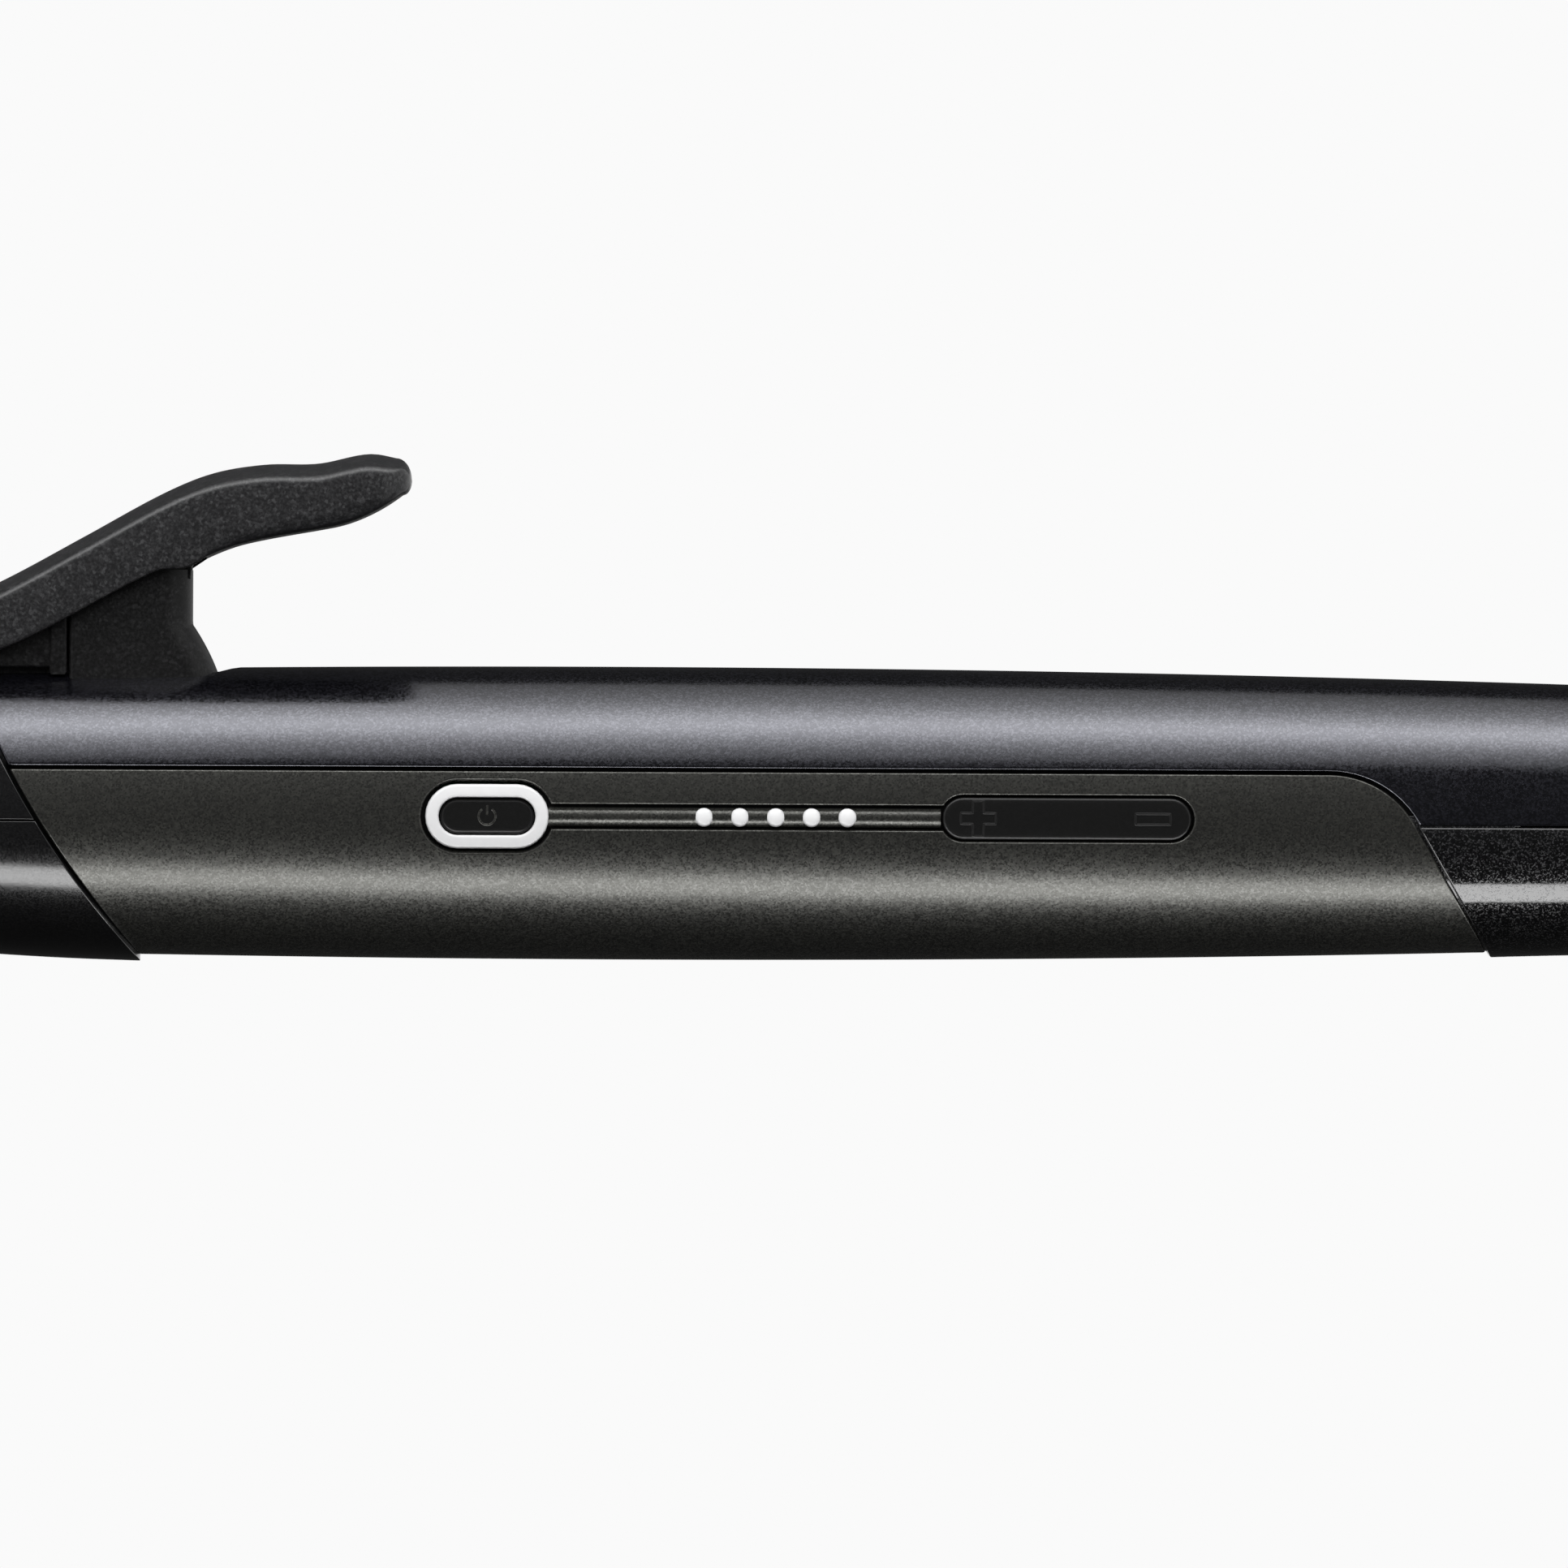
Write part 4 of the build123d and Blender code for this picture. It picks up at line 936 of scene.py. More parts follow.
def grained_plastic(dark, light, rough, grain, depth, shine=0.5):
    """Moulded plastic with an eroded grain, its colour lighter on the grain's high spots as a painted sheen and
    varied at random by specks and clouds.
    """
    paint = Paint("grained_plastic")
    texture = paint.noise(grain, 4.0, 0.65)
    specks = paint.band(paint.cells(grain), 0.7, 1.0)
    cloud = paint.noise(9.0)
    # Painted sheen: the base colour grows lighter where the grain stands high; the specks and clouds are random
    # tone.
    tone = paint.band(texture, 0.35, 0.75) * 0.45 + specks * 0.4 + cloud * 0.15
    return paint.set(
        Base_Color=paint.mix(tone, dark, light),
        Roughness=rough + 0.12 * (texture - 0.5),
        Specular_IOR_Level=shine,
        Normal=paint.bump(texture, depth),
    )


def lens_plastic(base, shade):
    """White light-guide plastic, slightly cloudy, with a soft glow below its surface."""
    paint = Paint("lens_plastic")
    cloud = paint.noise(1.2, 3.0)
    return paint.set(
        Base_Color=paint.mix(cloud, base, shade),
        Roughness=0.32 + 0.1 * cloud,
        Subsurface_Weight=0.2,
        Subsurface_Radius=(mm, mm, mm),
        Normal=paint.bump(paint.noise(0.4), 0.004),
    )


def brushed_metal(dark, light, rough, stretch):
    """Metal with fine lines along or round it, and soft heat or handling clouds."""
    paint = Paint("brushed_metal")
    lines = paint.noise(0.35, 4.0, 0.7, stretch)
    cloud = paint.noise(14.0, 3.0)
    return paint.set(
        Base_Color=paint.mix(cloud * 0.6 + lines * 0.4, dark, light),
        Metallic=1.0,
        Roughness=rough + 0.12 * (lines - 0.5) + 0.06 * (cloud - 0.5),
        Normal=paint.bump(lines, 0.002),
    )


def plain_part(dark, light, rough, grain, metal=0.0):
    """Small inner part with a fine mottled surface."""
    paint = Paint("plain_part")
    mottle = paint.noise(grain, 3.0)
    return paint.set(
        Base_Color=paint.mix(mottle, dark, light),
        Metallic=metal,
        Roughness=rough + 0.15 * (mottle - 0.5),
        Normal=paint.bump(mottle, 0.01),
    )


charcoal = ((0.0015, 0.0015, 0.002), (0.006, 0.006, 0.008))
cool_sheen = (0.90, 0.91, 1.0)
grip = ((0.0125, 0.0125, 0.0117), (0.0175, 0.0175, 0.0163))
warm_sheen = (1.0, 1.0, 0.93)
neck = ((0.003, 0.003, 0.0033), (0.007, 0.007, 0.0075))
moulded = {"grain": 0.32, "depth": 0.012}
lever_tones = ((0.006, 0.006, 0.0065), (0.06, 0.06, 0.062))
# Darker copy of the lever's tones: painted shade for the hinge post and the braces, which stand in the shade under
# the lever.
painted_shade_tones = (0.001, (0.018, 0.018, 0.0185))
barrel_tones = ((0.20, 0.195, 0.195), (0.27, 0.262, 0.262))
spoon_tones = ((0.21, 0.205, 0.205), (0.28, 0.272, 0.272))
steel_tones = ((0.50, 0.50, 0.51), (0.66, 0.66, 0.67))
finish = {
    "satin_charcoal": flake_paint(
        *charcoal, rough=0.19, flake=0.2, sheen=cool_sheen, index=1.54, glint=0.6, wave=0.006
    ),
    "grip_grey": flake_paint(
        *grip, rough=0.31, flake=0.18, sheen=warm_sheen, index=1.39, glint=0.85, wave=0.004
    ),
    "neck_black": flake_paint(*neck, rough=0.18, flake=0.12, sheen=1.0, index=1.46),
    "gloss_black": gloss_plastic((0.004, 0.004, 0.0043), (0.035, 0.035, 0.037), rough=0.08),
    "lever_black": grained_plastic(*lever_tones, rough=0.33, shine=0.3, **moulded),
    # Painted shade: the lever's grained plastic made darker for the pieces under the lever.
    "painted_shade_black": grained_plastic(*painted_shade_tones, rough=0.5, shine=0.2, **moulded),
    "key_black": grained_plastic(0.002, 0.006, rough=0.36, grain=0.15, depth=0.003, shine=0.3),
    "tip_black": grained_plastic((0.008, 0.008, 0.009), 0.03, rough=0.5, grain=0.3, depth=0.015),
    "sleeve_rubber": grained_plastic(0.012, 0.035, rough=0.7, grain=0.3, depth=0.02),
    "white_lens": lens_plastic(0.78, (0.68, 0.68, 0.69)),
    "lamp_white": lens_plastic(0.85, (0.74, 0.74, 0.75)),
    "barrel_metal": brushed_metal(*barrel_tones, rough=0.3, stretch=(30, 1, 1)),
    "spoon_metal": brushed_metal(*spoon_tones, rough=0.34, stretch=(1, 30, 30)),
    "bright_steel": brushed_metal(*steel_tones, rough=0.18, stretch=(1, 8, 8)),
    "spreader_metal": plain_part((0.55, 0.55, 0.56), (0.7, 0.7, 0.71), rough=0.4, grain=1.5, metal=1.0),
    "white_ceramic": plain_part((0.7, 0.69, 0.66), (0.82, 0.81, 0.79), rough=0.5, grain=0.8),
    "bush_brown": plain_part((0.10, 0.05, 0.025), (0.17, 0.09, 0.05), rough=0.55, grain=2.0),
    "board_green": plain_part((0.01, 0.09, 0.03), (0.02, 0.15, 0.06), rough=0.4, grain=2.5),
    "part_black": plain_part(0.01, 0.03, rough=0.45, grain=1.0),
    "part_yellow": plain_part((0.6, 0.38, 0.04), (0.75, 0.5, 0.08), rough=0.45, grain=1.0),
    "brass": plain_part((0.6, 0.42, 0.16), (0.75, 0.56, 0.25), rough=0.3, grain=1.5, metal=1.0),
    "lead_red": plain_part((0.4, 0.02, 0.015), (0.5, 0.04, 0.03), rough=0.45, grain=1.2),
}

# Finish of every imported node, by its record slot
for part in frame["record"]["subparts"]:
    packed = frame["nodes"][part["node"]]
    packed.data.materials.clear()
    packed.data.materials.append(finish[part["material_slot"]])

# Handle shells, panel and neck
tail_rows = span(bend_x, bend_x + tail_round * pi / 2, tail_row_step)
upper = Wall()
skin(upper, handle_line(0), [upper_loop()], mesh_size, shell_edge, shell_wall, press_seat, tail_rows)
dress(upper.piece("upper_shell_skin"), "handle", "satin_charcoal", "upper_shell")

panel = Wall()
skin(panel, handle_line(0), [panel_loop(), control_opening()], mesh_size, panel_edge, panel_wall)
dress(panel.piece("grip_panel_skin"), "handle", "grip_grey", "grip_panel")

# Dark well behind the controls, with ledges behind the panel's top seam on both sides
well = Wall()
well_start = power_x - ring_length / 2 - well_margin
well_stop = rocker_x + rocker_length / 2 + well_margin
well_floor = plate_loop(well_start, well_stop, control_z - ring_height, control_z + ring_height / 2)
skin(well, handle_line(-well_depth), [well_floor], hidden_mesh, hidden_edge, panel_wall / 4)
under_panel = handle_line(-panel_wall - trough_room)
ledge_start = slant(panel_top) + 2 * collar_gap
ledge_bend = panel_corner_x - panel_corner_round
ledge_stop = panel_corner_x + panel_corner_round / 2
ledge_high = panel_top + 4 * seam_gap
for ledge in (
    plate_loop(ledge_start, ledge_bend, panel_top - 2 * seam_gap, ledge_high),
    plate_loop(ledge_bend, ledge_stop, 2 * split_z, ledge_high),
):
    for loop in (ledge, [behind(point, True) for point in ledge]):
        skin(well, under_panel, [loop], hidden_mesh, hidden_edge, panel_wall / 4)
dress(well.piece("control_well"), "handle", "key_black")

# Lower shell: the tail's underside, the trough under the panel and the lip under its slanted end
trough_start = ledge_start + panel_corner_round
trough_stop = panel_corner_x + 2 * panel_corner_round
trough = patch_loop(trough_start, trough_stop, trough_top - pi, -trough_top, 4 * loop_step)
lip = patch_loop(end_slant(-lip_reach, 0), end_slant(lip_reach, -belly_radius), -pi, 0, loop_step)
tail = Wall()
skin(tail, handle_line(lower_proud), [tail_loop()], mesh_size, shell_edge, shell_wall, rows=tail_rows)
skin(tail, under_panel, [trough], trough_mesh, trough_edge, panel_wall / 2)
skin(tail, handle_line(-lip_depth), [lip], trough_mesh, trough_edge, panel_wall / 2)
dress(tail.piece("lower_shell_skin"), "handle", "gloss_black", "lower_shell")

neck_rows = span(collar_face, collar_face + collar_bend, neck_row_step)
for name, side in (("collar_upper", 1), ("collar_lower", -1)):
    half_neck = Wall()
    loop = collar_loop(split_z + side * split_gap / 2, side > 0)
    skin(half_neck, collar_line, [loop], mesh_size, collar_edge, collar_wall, rows=neck_rows)
    dress(half_neck.piece(name + "_skin"), "handle", "gloss_black", name, look="neck_black")


# Pieces made of rings of points
def finish_mesh(name, shape, sharpest=crease):
    """Object from a shape, smooth but for creases sharper than an angle in degrees."""
    mesh = bpy.data.meshes.new(name)
    shape.to_mesh(mesh)
    shape.free()
    mesh.shade_smooth()
    mesh.set_sharp_from_angle(angle=radians(sharpest))
    return new_object(name, mesh)


def solid(name, rings, closed=False):
    """Piece whose faces join each ring of points to the next, capped or closed on itself."""
    shape = bmesh.new()
    layers = [[shape.verts.new(place(*point)) for point in ring] for ring in rings]
    pairs = list(zip(layers, layers[1:]))
    if closed:
        pairs.append((layers[-1], layers[0]))
    else:
        shape.faces.new(layers[0])
        shape.faces.new(layers[-1])
    for near, far in pairs:
        for i in range(len(near)):
            shape.faces.new((near[i - 1], near[i], far[i], far[i - 1]))
    bmesh.ops.remove_doubles(shape, verts=shape.verts, dist=same_point)
    bmesh.ops.recalc_face_normals(shape, faces=shape.faces)
    return finish_mesh(name, shape)


def joined(name, pieces, sharpest=crease):
    """One piece from several closed ones."""
    shape = bmesh.new()
    for piece in pieces:
        shape.from_mesh(piece.data)
        bpy.data.objects.remove(piece)
    return finish_mesh(name, shape, sharpest)


def smooth_copy(node, sharpest):
    """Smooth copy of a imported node, with its loose triangles joined."""
    shape = bmesh.new()
    shape.from_mesh(frame["nodes"][node].data)
    bmesh.ops.remove_doubles(shape, verts=shape.verts, dist=same_corner)
    return finish_mesh(node + "_smooth", shape, sharpest)


def turned(name, profile, closed=False):
    """Piece turned about the handle's axis from points of distance and radius."""
    rings = [[(x, -radius * c, radius * s) for c, s in circle(barrel_sides)] for x, radius in profile]
    return solid(name, rings, closed)


def crosswise(name, centre, profile, closed=False):
    """Piece turned about a line across the handle from points of distance and radius."""
    rings = []
    for y, radius in profile:
        rings.append([(centre.x + radius * c, y, centre.z + radius * s) for c, s in circle(wire_sides)])
    return solid(name, rings, closed)


def rounded(corner, before, after, size, steps=8):
    """Points of a rounded corner between its two neighbours."""
    corner = Vector(corner)
    start = corner + (Vector(before) - corner).normalized() * size
    stop = corner + (Vector(after) - corner).normalized() * size
    shares = [i / steps for i in range(steps + 1)]
    return [start.lerp(corner, share).lerp(corner.lerp(stop, share), share) for share in shares]


def tube(name, path, radius, normal, squash=1.0, closed=False):
    """Round bead along a path of points, lying in a plane with a normal."""
    normal = Vector(normal)
    path = [Vector(point) for point in path]
    rings = []
    for i, point in enumerate(path):
        if closed:
            ahead = path[(i + 1) % len(path)] - path[i - 1]
        else:
            ahead = path[min(i + 1, len(path) - 1)] - path[max(i - 1, 0)]
        side = ahead.cross(normal).normalized()
        rings.append([point + radius * (c * side + squash * s * normal) for c, s in circle(bead_sides)])
    return solid(name, rings, closed)


def prism(name, outline, low, high, edge, point_of):
    """Block with chamfered ends from a flat outline, between two depths."""
    flat = [Vector(point) for point in outline]
    if signed_area(flat) < 0:
        flat.reverse()
    small = offset_loop(flat, -edge)
    levels = ((small, low), (flat, low + edge), (flat, high - edge), (small, high))
    return solid(name, [[point_of(point, depth) for point in loop] for loop, depth in levels])


# Power ring, keys and their marks
def on_key(x, dx, dz, lift):
    """Point above the handle's surface, by its offset from a place among the controls."""
    z = control_z + dz
    return (x + dx, -sqrt((handle_radius(x + dx) + lift) ** 2 - z * z), z)


def stadium(name, x, length, height, profile, closed=False):
    """Piece of stadium outlines laid on the handle, each with an inset and a lift."""
    reach = (length - height) / 2
    rings = []
    for inset, lift in profile:
        radius = height / 2 - inset
        flat = arc(reach, 0, radius, -pi / 2, pi / 2, stadium_turn)
        flat += arc(-reach, 0, radius, pi / 2, 1.5 * pi, stadium_turn)
        rings.append([on_key(x, point.x, point.y, lift) for point in flat])
    return solid(name, rings, closed)


def key(name, x, length, height, lift, dish):
    """Push key with a rounded edge and a slightly dished face."""
    profile = [(0, -key_depth)] + arc(key_edge, lift - key_edge, key_edge, pi, pi / 2, edge_turn)
    middle = height / 2 - key_slit
    for share in span(0, 1, 1 / section_steps)[1:]:
        profile.append((key_edge + (middle - key_edge) * share, lift - dish * sin(share * pi / 2)))
    return stadium(name, x, length, height, profile)


def bead(name, x, flat, lift, closed=False):
    """Thin raised line along flat points on a key."""
    path = [on_key(x, dx, dz, lift) for dx, dz in flat]
    return tube(name, path, mark_bead, (0, -1, 0), mark_squash, closed)


ring_level = ring_proud - ring_edge
ring_profile = [(0, -key_depth)]
ring_profile += arc(ring_edge, ring_level, ring_edge, pi, pi / 2, edge_turn)
ring_profile += arc(ring_rim - ring_edge, ring_level, ring_edge, pi / 2, 0, edge_turn)
ring_profile += [(ring_rim, -key_depth)]
power_ring = stadium("power_ring_skin", power_x, ring_length, ring_height, ring_profile, True)
dress(power_ring, "handle", "white_lens", "power_ring")

inset = 2 * ring_rim + 2 * key_gap
button_size = (ring_length - inset, ring_height - inset)
button = key("power_button_skin", power_x, *button_size, -button_sink, button_dish)
dress(button, "power_key", "key_black", "power_button")

mark_level = -button_sink - button_dish
mark_arc = arc(0, 0, mark_radius, mark_start, mark_stop, mark_turn)
marks = [
    bead("mark_arc", power_x, mark_arc, mark_level),
    bead("mark_bar", power_x, [(0, dz) for dz in span(*mark_bar, mark_step)], mark_level),
]
dress(joined("power_mark", marks), "power_key", "grip_grey")

rocker_size = (rocker_length - 2 * rocker_gap, rocker_height - 2 * rocker_gap)
rocker = key("rocker_key_skin", rocker_x, *rocker_size, -rocker_sink, rocker_dish)
dress(rocker, "heat_key", "key_black", "rocker_key")

arm = sign_size / 2
thin = sign_bar / 2
plus = [(arm, thin), (thin, thin), (thin, arm)]
plus += [(-dx, dz) for dx, dz in plus[::-1]]
plus += [(-dx, -dz) for dx, dz in plus]
plus_line = [Vector(point) for point in plus]
minus_line = box_line(-arm, arm, -thin, thin)
signs = []
for x, outline in ((plus_x, plus_line), (minus_x, minus_line)):
    signs.append(bead("sign", x, resample(outline, sign_step), rocker_mark_level, True))
dress(joined("rocker_marks", signs), "heat_key", "key_black")


# Rows of domes: the lamps in the groove and the rivet heads on the lever's root
def dome_row_tree():
    """Geometry Nodes tree for a straight row of equal domes, and its inputs' identifiers."""
    tree = bpy.data.node_groups.new("dome_row", "GeometryNodeTree")
    kinds = {"Count": "Int", "Finish": "Material"}
    kinds.update({name: "Vector" for name in ("Start", "Step", "Turn", "Half Size")})
    sockets = {}
    for name, kind in kinds.items():
        socket = tree.interface.new_socket(name, in_out="INPUT", socket_type="NodeSocket" + kind)
        sockets[name] = socket.identifier
    tree.interface.new_socket("Geometry", in_out="OUTPUT", socket_type="NodeSocketGeometry")
    nodes = Nodes(tree)
    outputs = tree.nodes.new("NodeGroupInput").outputs
    given = {name: Signal(nodes, outputs[name]) for name in kinds}
    line = {"Count": given["Count"], "Start Location": given["Start"], "Offset": given["Step"]}
    row = nodes.add("GeometryNodeMeshLine", sockets=line)
    ball = nodes.add("GeometryNodeMeshUVSphere", sockets={"Segments": 40, "Rings": 20, "Radius": 1.0})
    copies = {"Points": row, "Instance": ball, "Rotation": given["Turn"], "Scale": given["Half Size"]}
    domes = nodes.add("GeometryNodeInstanceOnPoints", sockets=copies)
    smooth = nodes.add("GeometryNodeSetShadeSmooth", sockets={"Geometry": domes})
    real = nodes.add("GeometryNodeRealizeInstances", sockets={"Geometry": smooth})
    painted = nodes.add("GeometryNodeSetMaterial", sockets={"Geometry": real, "Material": given["Finish"]})
    nodes.link(tree.nodes.new("NodeGroupOutput").inputs["Geometry"], painted)
    return tree, sockets


dome_tree, dome_sockets = dome_row_tree()


def plain_mesh(piece):
    """Mesh of a piece with its modifiers applied."""
    graph = bpy.context.evaluated_depsgraph_get()
    return bpy.data.meshes.new_from_object(piece.evaluated_get(graph))


def dome_row(name, count, start, stop, half_size, slot):
    """Plain mesh of a row of domes between two model points."""
    holder = new_object(name + "_row", bpy.data.meshes.new(name + "_row"))
    modifier = holder.modifiers.new("domes", "NODES")
    modifier.node_group = dome_tree
    values = {
        "Count": count,
        "Start": start,
        "Step": (stop - start) / (count - 1),
        "Turn": (0, tilt, 0),
        "Half Size": [size * mm for size in half_size],
        "Finish": finish[slot],
    }
    for key_name, value in values.items():
        modifier[dome_sockets[key_name]] = value
    mesh = plain_mesh(holder)
    bpy.data.objects.remove(holder)
    return new_object(name, mesh)


# Half-round strip in the groove, with the lamps on it
groove_start = power_x + ring_length / 2 - ring_edge
groove_stop = rocker_x - rocker_length / 2 + groove_overlap
strip_section = []
for dz in span(-strip_half, strip_half, strip_half / 8):
    strip_section.append((dz, strip_low + strip_rise * (1 - (dz / strip_half) ** 2)))
strip_section += [(strip_half, strip_low - strip_foot), (-strip_half, strip_low - strip_foot)]
strip_rings = []
for x in span(groove_start, groove_stop, row_step):
    strip_rings.append([on_key(x, 0, dz, lift) for dz, lift in strip_section])
dress(solid("light_strip", strip_rings), "handle", "grip_grey", "grip_panel")

lamp_reach = lamp_pitch * (lamp_count - 1) / 2
lamp_y = -sqrt(handle_radius(lamp_x) ** 2 - control_z**2) + lamp_sink
first_lamp = place(lamp_x - lamp_reach, lamp_y, control_z)
last_lamp = place(lamp_x + lamp_reach, lamp_y, control_z)
lamp_size = (lamp_radius, lamp_rise, lamp_radius)
lamps = dome_row("lamps", lamp_count, first_lamp, last_lamp, lamp_size, "lamp_white")
dress(lamps, "handle", "lamp_white", "light_guide")


# Clamp: lever, spoon and rivets
def curve(points, x):
    """Smooth curve through points of distance and height."""
    i = 0
    while i < len(points) - 2 and x > points[i + 1][0]:
        i += 1
    (x0, z0), (x1, z1) = points[i], points[i + 1]
    before = points[max(i - 1, 0)]
    after = points[min(i + 2, len(points) - 1)]
    slope0 = (z1 - before[1]) / (x1 - before[0])
    slope1 = (after[1] - z0) / (after[0] - x0)
    width = x1 - x0
    t = (x - x0) / width
    start = (1 + 2 * t) * (1 - t) ** 2 * z0 + t * (1 - t) ** 2 * width * slope0
    return start + t * t * (3 - 2 * t) * z1 + t * t * (t - 1) * width * slope1


def to_tip(x, start_x, z):
    """Height that leaves a start and rounds off at the lever's tip."""
    return lever_tip_z + (z - lever_tip_z) * round_off((x - start_x) / (lever_tip_x - start_x))


def lever_top(x):
    """Height of the lever's crown line, rounded off at the tip."""
    if x <= lever_nose_x:
        return curve(lever_crown_line, x)
    return to_tip(x, lever_nose_x, curve(lever_crown_line, lever_nose_x))


def lever_base(x):
    """Height of the lever's lower edge, rising to the tip."""
    if x <= lever_under_bend_x:
        return curve(lever_under_line, x)
    past = min(x, lever_low_x) - lever_under_bend_x
    base = lever_under_line[-1][1] + lever_under_rise * past + lever_under_bow * past * past
    return base if x <= lever_low_x else to_tip(x, lever_low_x, base)


def lever_width(x):
    """Half width of the lever, rounded at the root and the tip."""
    if x < lever_waist_x:
        back = max(0, lever_root_x + lever_root_half - x)
        return sqrt(max(lever_least_root**2, lever_root_half**2 - back * back))
    if x < lever_shoulder_x:
        share = ease((x - lever_waist_x) / (lever_shoulder_x - lever_waist_x))
        return lever_root_half + (lever_half - lever_root_half) * share
    over = max(0, x - lever_tip_x + lever_tip_round)
    return lever_half - lever_tip_round + sqrt(max(0, lever_tip_round**2 - over * over))


def clear_radius(x):
    """Radius that the lever's underside keeps clear of: the spoon, the neck and the handle."""
    if x < 0:
        return spoon_outer + lever_spoon_clear
    return (collar_radius(x) if x < lever_neck_x else handle_radius(x)) + lever_clear


def lever_section(x):
    """Ring of points round the lever at one place: flat sides, crowned top and rounded edges."""
    half = lever_width(x)
    top = lever_top(x)
    base = lever_base(x)
    fall = lever_crown * (half / lever_half) ** 2
    side_top = top - fall
    most_edge = min(max(lever_least_room, side_top - base) / 3, half / 2)
    upper_edge = min(lever_upper_edge, most_edge)
    thumb = ease((x - pivot_x) / (lever_under_bend_x - lever_half - pivot_x))
    lower_edge = min(lever_root_edge + (lever_thumb_edge - lever_root_edge) * thumb, most_edge)
    flat = half - lower_edge
    right = [(y, base) for y in span(0, flat, flat / section_steps)]
    right += arc(flat, base + lower_edge, lower_edge, -pi / 2, 0, pi / 2 / section_steps)[1:]
    turn = pi / 2 - atan2(2 * fall, half)
    edge_z = side_top - upper_edge * lever_upper_sink
    right += arc(half - upper_edge, edge_z, upper_edge, 0, turn, turn / section_steps)
    shoulder_y, shoulder_z = right[-1]
    for share in span(1, 0, 1 / crown_steps)[1:]:
        right.append((shoulder_y * share, top - (top - shoulder_z) * share**2))
    clear = clear_radius(x)
    section = []
    for y, z in right + [(-y, z) for y, z in right[-2:0:-1]]:
        floor_z = sqrt(max(0, clear * clear - y * y))
        section.append((x, y, max(z, min(floor_z, top - lever_least))))
    return section


def lever_stations():
    """Places along the lever, close together where it rounds off."""
    root_turns = span(root_turn, pi / 2, arc_step)
    root = [lever_root_x + lever_root_half * (1 - cos(turn)) for turn in root_turns]
    nose_x = lever_nose_x - lever_nose
    nose = [nose_x + (lever_tip_x - nose_x) * sin(turn) for turn in span(0, nose_turn, nose_step)[1:]]
    return root + span(root[-1], nose_x, lever_step)[1:] + nose


def side_view(point, depth):
    return (point.x, depth, point.y)


def end_view(point, depth):
    return (depth, point.x, point.y)


def top_view(point, depth):
    return (point.x, point.y, depth)


def without(piece, cutter):
    """Piece with the room of a cutter taken out."""
    cut = piece.modifiers.new("cut", "BOOLEAN")
    cut.object = cutter
    cut.operation = "DIFFERENCE"
    cut.solver = "EXACT"
    mesh = plain_mesh(piece)
    piece.modifiers.remove(cut)
    piece.data = mesh
    bpy.data.objects.remove(cutter)
    return piece


room_line = [
    (rib_face, neck_radius),
    (rib_face, lever_roof_left),
    (lever_roof_x, lever_roof_z),
    (lever_room_right, lever_roof_z),
    (lever_room_right, pivot_z),
    (lever_room_right + (pivot_z - neck_radius) * tan(clamp_swing), neck_radius),
]
lever = solid("thumb_lever_skin", [lever_section(x) for x in lever_stations()])
lever = without(lever, prism("lever_room", room_line, -straddle, straddle, bevel, side_view))
for x in rivet_xs:
    seat = [(x + rivet_seat * c, rivet_seat * s) for c, s in circle(seat_sides)]
    lever = without(lever, prism("rivet_seat", seat, rivet_z, pivot_z, bevel, top_view))
dress(lever, "clamp", "lever_black", "thumb_lever")

gusset_end = rib_face - gusset_overlap
gusset_line = [(gusset_x, gusset_low), (gusset_end, gusset_low), *gusset_rise]
web_line = [(gusset_x, gusset_low + web_lift), (gusset_end, gusset_low + web_lift), *gusset_rise]
rib_line = [*rib_foot, (rib_foot[-1][0], rib_top), (rib_foot[0][0], rib_top)]
rib_mirror = [(-y, z) for y, z in rib_line]
rib_start = rib_face - rib_depth
rib_web_line = box_line(-rib_web_half, rib_web_half, rib_foot[0][1], rib_top)
braces = [
    prism("cheek_near", gusset_line, -cheek_outer, -cheek_inner, cheek_bevel, side_view),
    prism("cheek_far", gusset_line, cheek_inner, cheek_outer, cheek_bevel, side_view),
    prism("web", web_line, -web_half, web_half, bevel, side_view),
    prism("rib_near", rib_mirror, rib_start, rib_face, rib_bevel, end_view),
    prism("rib_far", rib_line, rib_start, rib_face, rib_bevel, end_view),
    prism("rib_web", rib_web_line, rib_start, rib_start + rib_web, bevel, end_view),
]
braces = joined("lever_braces", braces)
# The braces take the darker copy of the lever's finish, as painted shade.
dress(braces, "clamp", "lever_black", "thumb_lever", look="painted_shade_black")


def spoon_line(u):
    """Spoon's outer face, of one radius all along."""
    return u, spoon_outer, 0, 1


def spoon_loop():
    """Plan of the spoon: straight sides, a taper and a round tip."""
    full = spoon_outer * sin(spoon_half_arc)
    tip_centre = spoon_start + spoon_tip_half
    right = [(x, full) for x in span(spoon_end, spoon_taper_x, row_step)]
    for x in span(spoon_taper_x, tip_centre, row_step)[1:]:
        share = (x - spoon_taper_x) / (tip_centre - spoon_taper_x)
        right.append((x, full + (spoon_tip_half - full) * share))
    right += arc(tip_centre, 0, spoon_tip_half, pi / 2, pi, spoon_turn)[1:]
    plan = right + [(x, -y) for x, y in right[-2::-1]]
    return resample([at(x, pi / 2 + asin(y / spoon_outer)) for x, y in plan], spoon_step)


spoon = Wall()
skin(spoon, spoon_line, [spoon_loop()], spoon_mesh, spoon_edge, spoon_sheet)
dress(spoon.piece("clamp_spoon_skin"), "clamp", "spoon_metal", "clamp_spoon")

rivet_ends = [place(x, 0, rivet_z) for x in rivet_xs]
rivet_size = (rivet_head_radius, rivet_head_radius, rivet_rise)
rivets = dome_row("rivets", len(rivet_xs), *rivet_ends, rivet_size, "bright_steel")
dress(rivets, "clamp", "bright_steel", "clamp_rivets")


